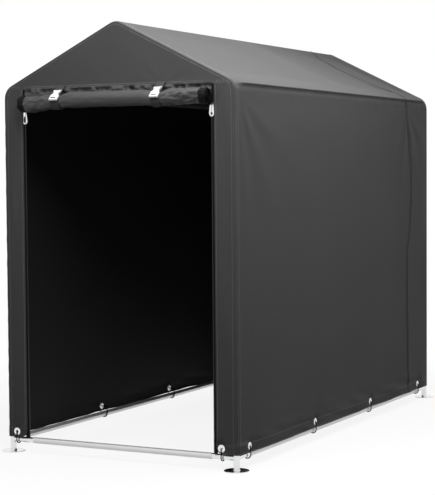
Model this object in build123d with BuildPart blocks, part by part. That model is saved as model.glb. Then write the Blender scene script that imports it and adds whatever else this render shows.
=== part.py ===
"""Bike shelter: a fabric cover over a frame of steel tubes, with its front door rolled up.

The front faces -Y, +X is on the right of someone who looks at the front, and +Z is up.
The origin is on the ground, in the middle of the box around the whole shelter.
All lengths are in millimetres and all angles in degrees.
"""

from build123d import *
from math import atan, cos, degrees, radians, sin, tan
import os

# Driving sizes of the whole shelter, between the axes of its corner posts
POST_SPACING_X = 1040
POST_SPACING_Y = 2140
EAVE_HEIGHT = 1500  # the corner that the wall and the roof would make if it were sharp
RIDGE_HEIGHT = 1763  # the ridge, likewise

# Steel tubes and the fittings that plug into them
TUBE_DIAMETER = 25
TUBE_WALL = 1.2
PLUG_GAP = 0.3  # between a plug and the bore of its tube
PLUG_LENGTH = 60
COLLAR_LENGTH = 16  # straight full-size run of a fitting beyond its bend
BRANCH_REACH = 38  # from a fitting's axis to the end of its branch along the shelter
TEE_LENGTH = 94
WELD_STEP = 0.5  # a branch's radius is this much less than that of the tube it is welded to
ROUNDING = 60  # outer radius of the cover over the eaves and the ridge

# Feet and bottom rails
FOOT_DIAMETER = 100
FOOT_THICKNESS = 3
FOOT_BEVEL = 1
WELD_HEIGHT = 4
WELD_SPREAD = 3
RAIL_HEIGHT = 51  # of the axis of the bottom rails
SOCKET_REACH = 105  # from a post's axis to the end of its bottom rails
POST_START = 90  # height at which the posts begin

# Cover
CLOTH = 2
CLOTH_GAP = 0.3  # between the cover and the tubes inside it
SEAM_GAP = 0.3  # between two panels of the cover
HEM_HEIGHT = 62
STRIP_INNER_X = 440  # half the width of the doorway
DOOR_SEAM_DROP = 3  # from the sharp corner of the eaves to the seam that the door hangs from
REAR_BAND = 300  # length of the panel of the cover at the rear

# Eyelets in the hem and the elastic loops that tie it to the bottom rails
EYELET_RISE = 23  # from the hem to the middle of an eyelet
EYELET_DIAMETER = 31
EYELET_LIP = 1.2
EYELET_BARREL = 14
EYELET_BORE = 11
EYELET_GAP = 0.3
FIRST_SIDE_EYELET = 87  # behind the axis of the front posts
LAST_SIDE_EYELET = 138  # before the axis of the rear posts
SIDE_EYELETS = 4
FRONT_EYELET_LEFT = 29  # from the axis of the left post towards the doorway
FRONT_EYELET_RIGHT = 58
REAR_EYELET_INSET = 58
REAR_EYELETS = 3
LOOP_DIAMETER = 4.5
LOOP_SIDES = 8
LOOP_GAP = 0.3
LOOP_TOP_RADIUS = 6

# Rolled door
ROLL_RADIUS = 30
ROLL_CENTRE_DROP = 57  # below the seam that the door hangs from
DOOR_LAP = 14  # the door's top edge is sewn over the gable by this much
ROLL_PITCH = 5.5  # from one turn of the door to the next
ROLL_TURNS = 4
ROLL_HALF_LENGTH = 400
ZIP_EDGE = 30  # width of the zip tape that ends the roll
TAPE_WIDTH = 16
TAPE_LAP = 5  # how far a tape reaches behind the edge of its strip
TAPE_THICKNESS = 1.5

# Straps and buckles that hold the roll
STRAP_PLACES = {"left": -250, "right": 212}
STRAP_WIDTH = 38
STRAP_THICKNESS = 1.5
STRAP_GAP = 0.3
STRAP_TILT = 45  # where the strap leaves the roll, above the middle of its front
BUCKLE_WIDTH = 36
BUCKLE_WAIST = 22
BUCKLE_HORN = 4  # how far the corners of its upper end stand up
BUCKLE_UP = 36  # from where the strap leaves the roll to the buckle's upper end
BUCKLE_DOWN = 22  # and to its lower end
BUCKLE_THICKNESS = 8
BUCKLE_SLOT = 6
BUCKLE_BAR = 7  # between the slot and the edges of the buckle
BUCKLE_EDGE = 1.5

# Zip sliders with a pull tab on each side of the cover
SLIDER_DROP = 92  # from the door's seam to the middle of the slider
SLIDER_WIDTH = 14
SLIDER_LENGTH = 20
SLIDER_WALL = 2
SLIDER_GAP = 0.3
RIVET_DIAMETER = 4
RIVET_HEAD = 7
RIVET_HEAD_THICKNESS = 1.2
TAB_STAND_OFF = 1  # from the cover's face to the back of a tab
TAB_WIDTH = 24
TAB_NECK = 11
TAB_LENGTH = 58
TAB_POINT = 10  # height of the tab's pointed end
TAB_THICKNESS = 2

# Sizes that follow from those above
tube_radius = TUBE_DIAMETER / 2
bore_radius = tube_radius - TUBE_WALL
plug_radius = bore_radius - PLUG_GAP
plug_bore = plug_radius - TUBE_WALL
stand_off = tube_radius + CLOTH_GAP + CLOTH  # from a post's axis to the outside of the cover
post_x = POST_SPACING_X / 2
wall_x = post_x + stand_off
pitch = degrees(atan((RIDGE_HEIGHT - EAVE_HEIGHT) / wall_x))
bend_radius = ROUNDING - stand_off
eave_turn = 90 - pitch
eave_centre_x = wall_x - ROUNDING
eave_centre_z = EAVE_HEIGHT - ROUNDING * tan(radians(eave_turn / 2))
ridge_centre_z = RIDGE_HEIGHT - ROUNDING / cos(radians(pitch))
purlin_x = eave_centre_x + bend_radius * cos(radians(eave_turn / 2))
purlin_z = eave_centre_z + bend_radius * sin(radians(eave_turn / 2))
ridge_z = ridge_centre_z + bend_radius

# The roll and its buckles stand out past the front feet, so the shelter sits back by half of that
half_pitch = ROLL_PITCH / 2
strap_start = ROLL_RADIUS - half_pitch + STRAP_GAP  # radius under the strap, over the roll
buckle_seat = strap_start + STRAP_THICKNESS + STRAP_GAP
roll_reach = (
    SEAM_GAP
    + ROLL_RADIUS
    + half_pitch
    + (buckle_seat + BUCKLE_THICKNESS) * cos(radians(STRAP_TILT))
    + (BUCKLE_DOWN - BUCKLE_EDGE) * sin(radians(STRAP_TILT))
)
setback = (roll_reach + stand_off - FOOT_DIAMETER / 2) / 2
front_y = setback - POST_SPACING_Y / 2
rear_y = setback + POST_SPACING_Y / 2
middle_y = setback
face_y = front_y - stand_off
back_y = rear_y + stand_off
rear_seam_y = back_y - REAR_BAND
eyelet_z = HEM_HEIGHT + EYELET_RISE
door_top = EAVE_HEIGHT - DOOR_SEAM_DROP
roll_y = face_y - SEAM_GAP - ROLL_RADIUS
roll_z = door_top - ROLL_CENTRE_DROP
tape_y = face_y + CLOTH + SEAM_GAP  # front of the zip tapes, which lie behind the strips
tape_edge_x = STRIP_INNER_X - TAPE_WIDTH + TAPE_LAP  # the free edge of a zip tape

os.makedirs("parts", exist_ok=True)


def save(piece, name):
    """Labels a finished piece and writes it to its own file."""
    piece.part.label = name
    export_step(piece.part, f"parts/{name}.step")


def side_name(sign):
    return "right" if sign > 0 else "left"


def end_name(y):
    return "rear" if y > middle_y else "front"


def rod(start, direction, length, radius, mode=Mode.ADD):
    """Adds a round bar to the part that is being built."""
    with Locations(Plane(start, z_dir=direction).location):
        Cylinder(radius, length, align=(Align.CENTER, Align.CENTER, Align.MIN), mode=mode)


def drill(start, direction, length, radius):
    """Cuts a round bore out of the part that is being built."""
    rod(start, direction, length, radius, Mode.SUBTRACT)


def tube(start, end):
    """A straight steel tube between two points."""
    run = Vector(*end) - Vector(*start)
    with BuildPart() as piece:
        with BuildSketch(Plane(Vector(*start), z_dir=run)):
            Circle(tube_radius)
            Circle(bore_radius, mode=Mode.SUBTRACT)
        extrude(amount=run.length)
    return piece


def plug_arm(start, direction, collar, collar_radius=tube_radius):
    """One arm of a fitting: a full-size collar, and then the plug that goes into a tube."""
    rod(start, direction, collar, collar_radius)
    rod(start, direction, collar + PLUG_LENGTH, plug_radius)


def hollow_arm(start, direction, collar, solid=0):
    """The bore of one arm of a fitting, which starts where the arm's solid root ends."""
    drill(start + direction * solid, direction, collar + PLUG_LENGTH - solid, plug_bore)


# Frame: the feet, each a plate with an upright and sockets for two bottom rails
def foot(sign, y, inward):
    """A foot at one corner; inward is the sense along Y that points to the middle."""
    arms = [Vector(-sign, 0, 0), Vector(0, inward, 0)]
    up = Vector(0, 0, 1)
    axis = Vector(sign * post_x, y, 0)
    joint = axis + up * RAIL_HEIGHT
    with BuildPart() as piece:
        with Locations(axis):
            Cylinder(FOOT_DIAMETER / 2, FOOT_THICKNESS, align=(Align.CENTER, Align.CENTER, Align.MIN))
        chamfer(piece.edges().group_by(Axis.Z)[-1], FOOT_BEVEL)
        with Locations(axis + up * FOOT_THICKNESS):
            Cone(
                tube_radius + WELD_SPREAD,
                tube_radius,
                WELD_HEIGHT,
                align=(Align.CENTER, Align.CENTER, Align.MIN),
            )
        plug_arm(axis, up, POST_START)
        for arm in arms:
            rod(joint, arm, SOCKET_REACH + PLUG_LENGTH, plug_radius)
        hollow_arm(axis, up, POST_START, FOOT_THICKNESS)
        for arm in arms:
            hollow_arm(joint, arm, SOCKET_REACH, tube_radius)
    return piece


corners = [(sign, y) for y in (front_y, rear_y) for sign in (-1, 1)]
for sign, y in corners:
    save(foot(sign, y, 1 if y < middle_y else -1), f"foot_{end_name(y)}_{side_name(sign)}")

# Frame: posts and bottom rails
post_top = eave_centre_z - COLLAR_LENGTH
for sign, y in corners:
    x = sign * post_x
    save(tube((x, y, POST_START), (x, y, post_top)), f"post_{end_name(y)}_{side_name(sign)}")

rail_end_x = post_x - SOCKET_REACH
for y in (front_y, rear_y):
    rail = tube((-rail_end_x, y, RAIL_HEIGHT), (rail_end_x, y, RAIL_HEIGHT))
    save(rail, f"bottom_rail_{end_name(y)}")
for sign in (-1, 1):
    rail = tube(
        (sign * post_x, front_y + SOCKET_REACH, RAIL_HEIGHT),
        (sign * post_x, rear_y - SOCKET_REACH, RAIL_HEIGHT),
    )
    save(rail, f"bottom_rail_{side_name(sign)}")


# Frame: bent three-way fittings at the eaves and at the ends of the ridge
def bent_fitting(centre, start_angle, turn):
    """A front fitting, built at Y 0: a bend with an arm at each end and a branch to the rear."""
    plane = Plane((0, 0, 0), x_dir=(1, 0, 0), z_dir=(0, -1, 0))

    def on_bend(angle):
        """The point on the bend at an angle, and the way along the bend there."""
        turned = radians(angle)
        out = Vector(cos(turned), 0, sin(turned))
        along = Vector(-sin(turned), 0, cos(turned))
        return Vector(centre[0], 0, centre[1]) + out * bend_radius, along

    first, first_way = on_bend(start_angle)
    last, last_way = on_bend(start_angle + turn)
    middle, _ = on_bend(start_angle + turn / 2)
    branch = Vector(0, 1, 0)
    with BuildLine(plane) as bend:
        CenterArc(centre, bend_radius, start_angle, turn)
    with BuildPart() as piece:
        for mode, radius in ((Mode.ADD, tube_radius), (Mode.SUBTRACT, plug_bore)):
            with BuildSketch(Plane(first, z_dir=first_way)):
                Circle(radius)
            sweep(path=bend.wires()[0], mode=mode)
            if mode == Mode.ADD:
                plug_arm(first, first_way * -1, COLLAR_LENGTH)
                plug_arm(last, last_way, COLLAR_LENGTH)
                plug_arm(middle, branch, BRANCH_REACH, tube_radius - WELD_STEP)
        hollow_arm(first, first_way * -1, COLLAR_LENGTH)
        hollow_arm(last, last_way, COLLAR_LENGTH)
        hollow_arm(middle, branch, BRANCH_REACH, tube_radius)
    return piece


def put(piece, sign, y):
    """A copy of a front left piece that was built at Y 0, on either side and at either end."""
    part = piece.part
    if sign > 0:
        part = part.mirror(Plane.YZ)
    if y > middle_y:
        part = part.mirror(Plane.XZ)
    with BuildPart() as copy:
        add(part.moved(Location((0, y, 0))))
    return copy


eave_corner = bent_fitting((-eave_centre_x, eave_centre_z), 180 - eave_turn, eave_turn)
for sign, y in corners:
    save(put(eave_corner, sign, y), f"eave_corner_{end_name(y)}_{side_name(sign)}")
ridge_end = bent_fitting((0, ridge_centre_z), 90 - pitch, 2 * pitch)
for y in (front_y, rear_y):
    save(put(ridge_end, -1, y), f"ridge_end_{end_name(y)}")


# Frame: straight fittings halfway along the eaves and the ridge
def middle_fitting(axis, rafter_ways):
    """A sleeve along the shelter with an arm for each middle rafter that meets it."""
    along = Vector(0, 1, 0)
    with BuildPart() as piece:
        for way in (along, along * -1):
            plug_arm(axis, way, TEE_LENGTH / 2)
        for way in rafter_ways:
            plug_arm(axis, way, BRANCH_REACH, tube_radius - WELD_STEP)
        for way in (along, along * -1):
            hollow_arm(axis, way, TEE_LENGTH / 2)
        for way in rafter_ways:
            hollow_arm(axis, way, BRANCH_REACH, tube_radius)
    return piece


ridge_middle = Vector(0, middle_y, ridge_z)
eave_middle = {sign: Vector(sign * purlin_x, middle_y, purlin_z) for sign in (-1, 1)}
rise = {sign: (ridge_middle - eave_middle[sign]).normalized() for sign in (-1, 1)}
for sign in (-1, 1):
    save(middle_fitting(eave_middle[sign], [rise[sign]]), f"eave_tee_{side_name(sign)}")
save(middle_fitting(ridge_middle, [rise[-1] * -1, rise[1] * -1]), "ridge_cross")


# Frame: the tubes along the eaves and the ridge, in two lengths each
def lengthwise(x, z):
    """Two tubes in line, from an end fitting to the middle one and on to the other end."""
    gap = TEE_LENGTH / 2
    spans = [(front_y + BRANCH_REACH, middle_y - gap), (middle_y + gap, rear_y - BRANCH_REACH)]
    with BuildPart() as piece:
        for start, end in spans:
            with BuildSketch(Plane((x, start, z), z_dir=(0, 1, 0))):
                Circle(tube_radius)
                Circle(bore_radius, mode=Mode.SUBTRACT)
            extrude(amount=end - start)
    return piece


for sign in (-1, 1):
    save(lengthwise(sign * purlin_x, purlin_z), f"eave_rail_{side_name(sign)}")
save(lengthwise(0, ridge_z), "ridge_rail")


# Frame: three rafters on each side
def rafters(sign):
    """The front and rear rafters between bent fittings, and the middle one between straight ones."""
    slope = radians(pitch)
    up = Vector(-sign * cos(slope), 0, sin(slope))
    out = Vector(sign * sin(slope), 0, cos(slope)) * bend_radius
    low = Vector(sign * eave_centre_x, 0, eave_centre_z) + out + up * COLLAR_LENGTH
    high = Vector(0, 0, ridge_centre_z) + out - up * COLLAR_LENGTH
    runs = [(low + Vector(0, y, 0), high + Vector(0, y, 0)) for y in (front_y, rear_y)]
    arm = rise[sign] * BRANCH_REACH
    runs.append((eave_middle[sign] + arm, ridge_middle - arm))
    with BuildPart() as piece:
        for start, end in runs:
            with BuildSketch(Plane(start, z_dir=end - start)):
                Circle(tube_radius)
                Circle(bore_radius, mode=Mode.SUBTRACT)
            extrude(amount=(end - start).length)
    return piece


for sign in (-1, 1):
    save(rafters(sign), f"rafters_{side_name(sign)}")


# Cover: one shell with rounded edges, cut into its sewn panels
def cover_body(inset):
    """The solid that the cover encloses, or what lies inside its cloth where inset is the cloth."""
    side = wall_x - inset
    lift = inset / cos(radians(pitch))
    shoulder = RIDGE_HEIGHT - lift - side * tan(radians(pitch))
    with BuildPart() as body:
        with BuildSketch(Plane((0, face_y + inset, 0), x_dir=(1, 0, 0), z_dir=(0, -1, 0))) as outline:
            with BuildLine():
                Polyline(
                    (-side, HEM_HEIGHT),
                    (side, HEM_HEIGHT),
                    (side, shoulder),
                    (0, RIDGE_HEIGHT - lift),
                    (-side, shoulder),
                    close=True,
                )
            make_face()
            top = outline.vertices().group_by(Axis.Y)[1:]
            fillet([corner for group in top for corner in group], ROUNDING - inset)
        extrude(amount=-(back_y - face_y - 2 * inset))
        ends = body.faces().sort_by(Axis.Y)
        rims = (ends[0].edges() + ends[-1].edges()).group_by(Axis.Z)[1:]
        fillet([edge for group in rims for edge in group], stand_off - inset)
    return body


with BuildPart() as cover:
    add(cover_body(0).part)
    add(cover_body(CLOTH).part, mode=Mode.SUBTRACT)


def eyelet_hole(x, y, direction):
    """Cuts the hole for an eyelet through the panel that is being built."""
    start = Vector(x, y, eyelet_z) - Vector(*direction) * CLOTH * 2
    drill(start, direction, CLOTH * 4, EYELET_BARREL / 2 + EYELET_GAP)


def panel(x_range, y_range, z_range, holes=()):
    """The part of the cover within a box, with a hole for each of its eyelets."""
    low = Vector(x_range[0], y_range[0], z_range[0])
    high = Vector(x_range[1], y_range[1], z_range[1])
    with BuildPart() as piece:
        add(cover.part)
        with Locations((low + high) * 0.5):
            Box(*(high - low), mode=Mode.INTERSECT)
        for hole in holes:
            eyelet_hole(*hole)
    return piece


side_span = POST_SPACING_Y - FIRST_SIDE_EYELET - LAST_SIDE_EYELET
side_eyelets = [
    front_y + FIRST_SIDE_EYELET + side_span * i / (SIDE_EYELETS - 1) for i in range(SIDE_EYELETS)
]
rear_span = POST_SPACING_X - 2 * REAR_EYELET_INSET
rear_eyelets = [
    -rear_span / 2 + rear_span * i / (REAR_EYELETS - 1) for i in range(REAR_EYELETS)
]
front_eyelets = {-1: FRONT_EYELET_LEFT - post_x, 1: post_x - FRONT_EYELET_RIGHT}

beyond = ROUNDING  # how far the cutting boxes reach past the cover
low_z = HEM_HEIGHT - beyond
high_z = RIDGE_HEIGHT + beyond
side_front = front_y + SEAM_GAP / 2
side_rear = rear_y - SEAM_GAP / 2
lengths = {
    "": (side_front, rear_seam_y - SEAM_GAP / 2),
    "rear_band_": (rear_seam_y + SEAM_GAP / 2, side_rear),
}
for sign in (-1, 1):
    outside = sorted((sign * SEAM_GAP / 2, sign * (wall_x + beyond)))
    for prefix, span in lengths.items():
        places = [y for y in side_eyelets if span[0] < y < span[1]]
        holes = [(sign * wall_x, y, (sign, 0, 0)) for y in places]
        wall = panel(outside, span, (low_z, eave_centre_z - SEAM_GAP / 2), holes)
        save(wall, f"{prefix}wall_{side_name(sign)}")
        roof = panel(outside, span, (eave_centre_z + SEAM_GAP / 2, high_z))
        save(roof, f"{prefix}roof_{side_name(sign)}")

across = (-wall_x - beyond, wall_x + beyond)
at_back = (rear_y + SEAM_GAP / 2, back_y + beyond)
at_front = (face_y - beyond, front_y - SEAM_GAP / 2)
save(
    panel(across, at_back, (low_z, high_z), [(x, back_y, (0, 1, 0)) for x in rear_eyelets]),
    "back_wall",
)
save(panel(across, at_front, (door_top + SEAM_GAP / 2, high_z)), "front_gable")
for sign in (-1, 1):
    strip_x = sorted((sign * STRIP_INNER_X, sign * (wall_x + beyond)))
    hole = (front_eyelets[sign], face_y, (0, -1, 0))
    strip = panel(strip_x, at_front, (low_z, door_top - SEAM_GAP / 2), [hole])
    save(strip, f"front_strip_{side_name(sign)}")


# Eyelets: rings with a lip on each face of the cloth
def eyelets(places):
    """One ring at each place; a place is a point on the outer face and the way out of it."""
    with BuildPart() as piece:
        for x, y, direction in places:
            out = Vector(*direction)
            inner_face = Vector(x, y, eyelet_z) - out * (CLOTH + EYELET_LIP)
            outer_face = Vector(x, y, eyelet_z)
            rod(inner_face, out, CLOTH + 2 * EYELET_LIP, EYELET_BARREL / 2)
            for face in (inner_face, outer_face):
                rod(face, out, EYELET_LIP, EYELET_DIAMETER / 2)
            drill(inner_face, out, CLOTH + 2 * EYELET_LIP, EYELET_BORE / 2)
    return piece


# Elastic loops: each goes through an eyelet, down outside the hem and round the bottom rail
def loops(places):
    """One closed loop at each place, in the upright plane across the bottom rail."""
    cord_radius = LOOP_DIAMETER / 2
    turn = tube_radius + LOOP_GAP + cord_radius
    outer = EYELET_LIP + LOOP_GAP + cord_radius
    inner = -stand_off - turn
    bottom = RAIL_HEIGHT - turn
    ring = [(inner, bottom), (outer, bottom), (outer, eyelet_z), (inner, eyelet_z)]
    with BuildPart() as piece:
        for x, y, direction in places:
            out = Vector(*direction)
            upright = Plane((x, y, 0), x_dir=out, z_dir=out.cross(Vector(0, 0, 1)))
            with BuildLine(upright) as path:
                FilletPolyline(*ring, radius=[turn, turn, LOOP_TOP_RADIUS, LOOP_TOP_RADIUS], close=True)
            round_rail = path.wires()[0]
            with BuildSketch(Plane(round_rail @ 0, z_dir=round_rail % 0)):
                RegularPolygon(cord_radius, LOOP_SIDES)
            sweep(path=round_rail)
    return piece


places_by_side = {
    "left": [(-wall_x, y, (-1, 0, 0)) for y in side_eyelets],
    "right": [(wall_x, y, (1, 0, 0)) for y in side_eyelets],
    "front": [(x, face_y, (0, -1, 0)) for x in front_eyelets.values()],
    "rear": [(x, back_y, (0, 1, 0)) for x in rear_eyelets],
}
for name, places in places_by_side.items():
    save(eyelets(places), f"eyelets_{name}")
    save(loops(places), f"elastic_loops_{name}")


# Rolled door: a sheet wound outwards in half turns, each smaller than the last
def rolled_sheet(x_range):
    """The sheet's section in the plane across its width, extruded from one side to the other."""
    plane = Plane((x_range[0], 0, 0), x_dir=(0, 1, 0), z_dir=(1, 0, 0))
    front = roll_y + ROLL_RADIUS - CLOTH
    flap_top = door_top + DOOR_LAP
    half_turns = []
    centre, radius, sense = roll_y, ROLL_RADIUS, 1
    for _ in range(2 * ROLL_TURNS):
        half_turns.append((centre, radius, sense))
        centre -= sense * half_pitch
        radius -= half_pitch
        sense = -sense
    last_centre, last_radius, last_sense = half_turns[-1]
    end = last_centre - last_sense * last_radius
    with BuildPart() as piece:
        with BuildSketch(plane):
            with BuildLine():
                Polyline(
                    (front, roll_z), (front, flap_top), (front + CLOTH, flap_top), (front + CLOTH, roll_z)
                )
                for centre, radius, sense in half_turns:
                    for inset in (0, CLOTH):
                        start_angle = 0 if sense > 0 else 180
                        CenterArc((centre, roll_z), radius - inset, start_angle, -180)
                Line((end, roll_z), (end + last_sense * CLOTH, roll_z))
            make_face()
        extrude(amount=x_range[1] - x_range[0])
    return piece


save(rolled_sheet((-ROLL_HALF_LENGTH, ROLL_HALF_LENGTH)), "rolled_door")


# Zips: a tape behind the edge of each strip, and the door's own tape at each end of the roll
for sign in (-1, 1):
    edge = sorted((sign * (ROLL_HALF_LENGTH + SEAM_GAP), sign * (ROLL_HALF_LENGTH + ZIP_EDGE)))
    with BuildPart() as zip_tape:
        add(rolled_sheet(edge).part)
        tape_x = sign * (tape_edge_x + TAPE_WIDTH / 2)
        with Locations((tape_x, tape_y + TAPE_THICKNESS / 2, (HEM_HEIGHT + door_top) / 2)):
            Box(TAPE_WIDTH, TAPE_THICKNESS, door_top - HEM_HEIGHT)
    save(zip_tape, f"zip_tape_{side_name(sign)}")


# Zip pulls: a slider astride the free edge of the tape, and a pointed tab on each side of it
def zip_pull(sign):
    """The slider with its rivet, and the two tabs that hang on the rivet."""
    x = sign * tape_edge_x
    y = tape_y + TAPE_THICKNESS / 2
    z = door_top - SLIDER_DROP
    slot = TAPE_THICKNESS + 2 * SLIDER_GAP
    depth = slot + 2 * SLIDER_WALL
    reach = y - face_y + TAB_STAND_OFF + TAB_THICKNESS + SLIDER_GAP + RIVET_HEAD_THICKNESS
    low = TAB_NECK / 2 - TAB_LENGTH
    with BuildPart() as piece:
        with Locations((x, y, z)):
            Box(SLIDER_WIDTH, depth, SLIDER_LENGTH)
        fillet(piece.edges().filter_by(Axis.Y), SLIDER_WALL)
        with Locations((x + sign * (SLIDER_WIDTH / 2 - SLIDER_GAP), y, z)):
            Box(SLIDER_WIDTH, slot, SLIDER_LENGTH, mode=Mode.SUBTRACT)
        for way in (-1, 1):
            out = Vector(0, way, 0)
            rod(Vector(x, y, z) + out * depth / 2, out, reach - depth / 2, RIVET_DIAMETER / 2)
            head = y + way * (reach - RIVET_HEAD_THICKNESS)
            rod(Vector(x, head, z), out, RIVET_HEAD_THICKNESS, RIVET_HEAD / 2)
            near = head - way * SLIDER_GAP
            rear_face = max(near, near - way * TAB_THICKNESS)
            with BuildSketch(Plane((x, rear_face, z), x_dir=(1, 0, 0), z_dir=(0, -1, 0))):
                with BuildLine():
                    Polyline(
                        (-TAB_NECK / 2, TAB_NECK / 2),
                        (TAB_NECK / 2, TAB_NECK / 2),
                        (TAB_WIDTH / 2, low + 2 * TAB_POINT),
                        (TAB_WIDTH / 2, low + TAB_POINT),
                        (0, low),
                        (-TAB_WIDTH / 2, low + TAB_POINT),
                        (-TAB_WIDTH / 2, low + 2 * TAB_POINT),
                        close=True,
                    )
                make_face()
                Circle(RIVET_DIAMETER / 2 + SLIDER_GAP, mode=Mode.SUBTRACT)
            extrude(amount=TAB_THICKNESS)
    return piece


for sign in (-1, 1):
    save(zip_pull(sign), f"zip_pull_{side_name(sign)}")


# Straps: from the door's seam down over the front of the roll, under it and up behind the door
leave_angle = 180 - STRAP_TILT
upper_y = roll_y - half_pitch  # the axis of the roll's upper half
leave = Vector(cos(radians(leave_angle)), sin(radians(leave_angle)))
up_strap = Vector(leave.Y, -leave.X)


def strap(x):
    """The strap's section in the plane across the roll, extruded to the strap's width."""
    front = face_y - CLOTH - SEAM_GAP - STRAP_GAP
    plane = Plane((x - STRAP_WIDTH / 2, 0, 0), x_dir=(0, 1, 0), z_dir=(1, 0, 0))
    with BuildPart() as piece:
        with BuildSketch(plane):
            with BuildLine():
                tops = []
                for radius in (strap_start, strap_start + STRAP_THICKNESS):
                    off_roll = Vector(upper_y, roll_z) + leave * radius
                    top = off_roll + up_strap * ((front - off_roll.X) / up_strap.X)
                    tops.append(top)
                    Line(top, off_roll)
                    CenterArc((upper_y, roll_z), radius, leave_angle, STRAP_TILT)
                    CenterArc((roll_y, roll_z), radius + half_pitch, 180, 180)
                    back = roll_y + radius + half_pitch
                    Line((back, roll_z), (back, door_top - SEAM_GAP))
                Line(tops[0], tops[1])
                Line((back - STRAP_THICKNESS, door_top - SEAM_GAP), (back, door_top - SEAM_GAP))
            make_face()
        extrude(amount=STRAP_WIDTH)
    return piece


# Buckles: flat plates with horned upper corners, a waist and a slot in the lower end
def buckle(x):
    """A buckle on the strap where the strap leaves the roll."""
    out = Vector(0, leave.X, leave.Y)
    seat = Vector(x, upper_y, roll_z) + out * buckle_seat
    half, waist, shoulder = BUCKLE_WIDTH / 2, BUCKLE_WAIST / 2, BUCKLE_UP / 3
    with BuildPart() as piece:
        with BuildSketch(Plane(seat, x_dir=(1, 0, 0), z_dir=out)):
            with BuildLine() as side:
                Polyline(
                    (0, -BUCKLE_DOWN),
                    (half, -BUCKLE_DOWN),
                    (half, shoulder / 2),
                    (waist, shoulder),
                    (waist, shoulder * 1.6),
                    (half, BUCKLE_UP),
                    (half - 2 * BUCKLE_HORN, BUCKLE_UP - BUCKLE_HORN),
                    (0, BUCKLE_UP - BUCKLE_HORN),
                )
                mirror(side.line, about=Plane.YZ)
            make_face()
            with Locations((0, BUCKLE_BAR + BUCKLE_SLOT / 2 - BUCKLE_DOWN)):
                Rectangle(BUCKLE_WIDTH - 2 * BUCKLE_BAR, BUCKLE_SLOT, mode=Mode.SUBTRACT)
        extrude(amount=BUCKLE_THICKNESS)
        chamfer(piece.faces().sort_by(Axis((0, 0, 0), out))[-1].outer_wire().edges(), BUCKLE_EDGE)
    return piece


for side, x in STRAP_PLACES.items():
    save(strap(x), f"roll_strap_{side}")
    save(buckle(x), f"buckle_{side}")
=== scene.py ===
"""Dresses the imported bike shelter: a dark grey cloth cover over a light steel tube frame.

The front faces -Y, +X is on the right of someone who looks at the front, and +Z is up.
All lengths are in metres.
"""

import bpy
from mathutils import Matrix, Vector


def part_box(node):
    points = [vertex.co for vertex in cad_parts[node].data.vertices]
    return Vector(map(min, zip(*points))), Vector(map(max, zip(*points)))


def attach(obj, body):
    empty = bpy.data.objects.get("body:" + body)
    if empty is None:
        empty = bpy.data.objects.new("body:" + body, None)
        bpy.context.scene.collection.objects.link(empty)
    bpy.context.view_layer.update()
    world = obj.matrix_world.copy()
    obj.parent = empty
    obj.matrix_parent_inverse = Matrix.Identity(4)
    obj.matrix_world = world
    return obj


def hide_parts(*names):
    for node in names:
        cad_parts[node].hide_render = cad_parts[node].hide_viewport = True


bl_info = {
    "name": "Bike Shelter",
    "version": (1, 0, 0),
    "blender": (4, 5, 0),
    "location": "View3D > Sidebar > Shelter",
    "description": "Makes the cloth cover of a bike shelter, its trimmings and its finishes",
    "category": "Object",
}

from math import acos, asin, atan2, ceil, cos, exp, hypot, pi, radians, sin, sqrt, tan

import bmesh
import bpy
from bpy.props import FloatProperty, FloatVectorProperty, PointerProperty
from mathutils import Matrix, Vector, noise

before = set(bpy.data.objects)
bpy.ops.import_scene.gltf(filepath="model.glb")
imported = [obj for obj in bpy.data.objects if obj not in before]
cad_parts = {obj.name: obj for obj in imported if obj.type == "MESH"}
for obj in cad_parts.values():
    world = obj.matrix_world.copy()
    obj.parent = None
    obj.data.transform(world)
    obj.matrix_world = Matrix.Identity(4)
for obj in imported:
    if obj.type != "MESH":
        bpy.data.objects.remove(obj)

# Sizes and places read from the frame
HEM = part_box("wall_right")[0].z
WALL_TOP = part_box("wall_right")[1].z
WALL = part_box("wall_right")[1].x
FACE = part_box("front_gable")[0].y
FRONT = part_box("front_gable")[1].y
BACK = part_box("back_wall")[1].y
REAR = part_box("back_wall")[0].y
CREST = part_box("front_gable")[1].z
DOOR_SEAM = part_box("front_gable")[0].z
REAR_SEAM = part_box("wall_right")[1].y
STRIP_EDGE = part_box("front_strip_right")[0].x
RIM = FRONT - FACE
MIDDLE = (FRONT + REAR) / 2
ROUNDING = 0.060

# The outline across the shelter: two circles of one radius and the slope that touches both
EAVE_X = WALL - ROUNDING
EAVE_Z = WALL_TOP
RIDGE_Z = CREST - ROUNDING
PITCH = atan2(RIDGE_Z - EAVE_Z, EAVE_X)
EAVE_TURN = pi / 2 - PITCH
SLOPE = hypot(EAVE_X, RIDGE_Z - EAVE_Z)
WALL_RUN = EAVE_Z - HEM
EAVE_RUN = ROUNDING * EAVE_TURN
RIDGE_RUN = ROUNDING * PITCH
EAVE_START = WALL_RUN
SLOPE_START = WALL_RUN + EAVE_RUN
SLOPE_END = SLOPE_START + SLOPE
RIDGE = SLOPE_END + RIDGE_RUN


def smooth(value):
    """0 below 0, 1 above 1 and an even curve between."""
    value = min(max(value, 0.0), 1.0)
    return value * value * (3 - 2 * value)


def mix(a, b, share):
    return a + (b - a) * share


def rumple(*at):
    """Even noise from about -1 to 1 at a point."""
    return noise.noise(Vector(at)) * 1.6


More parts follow.
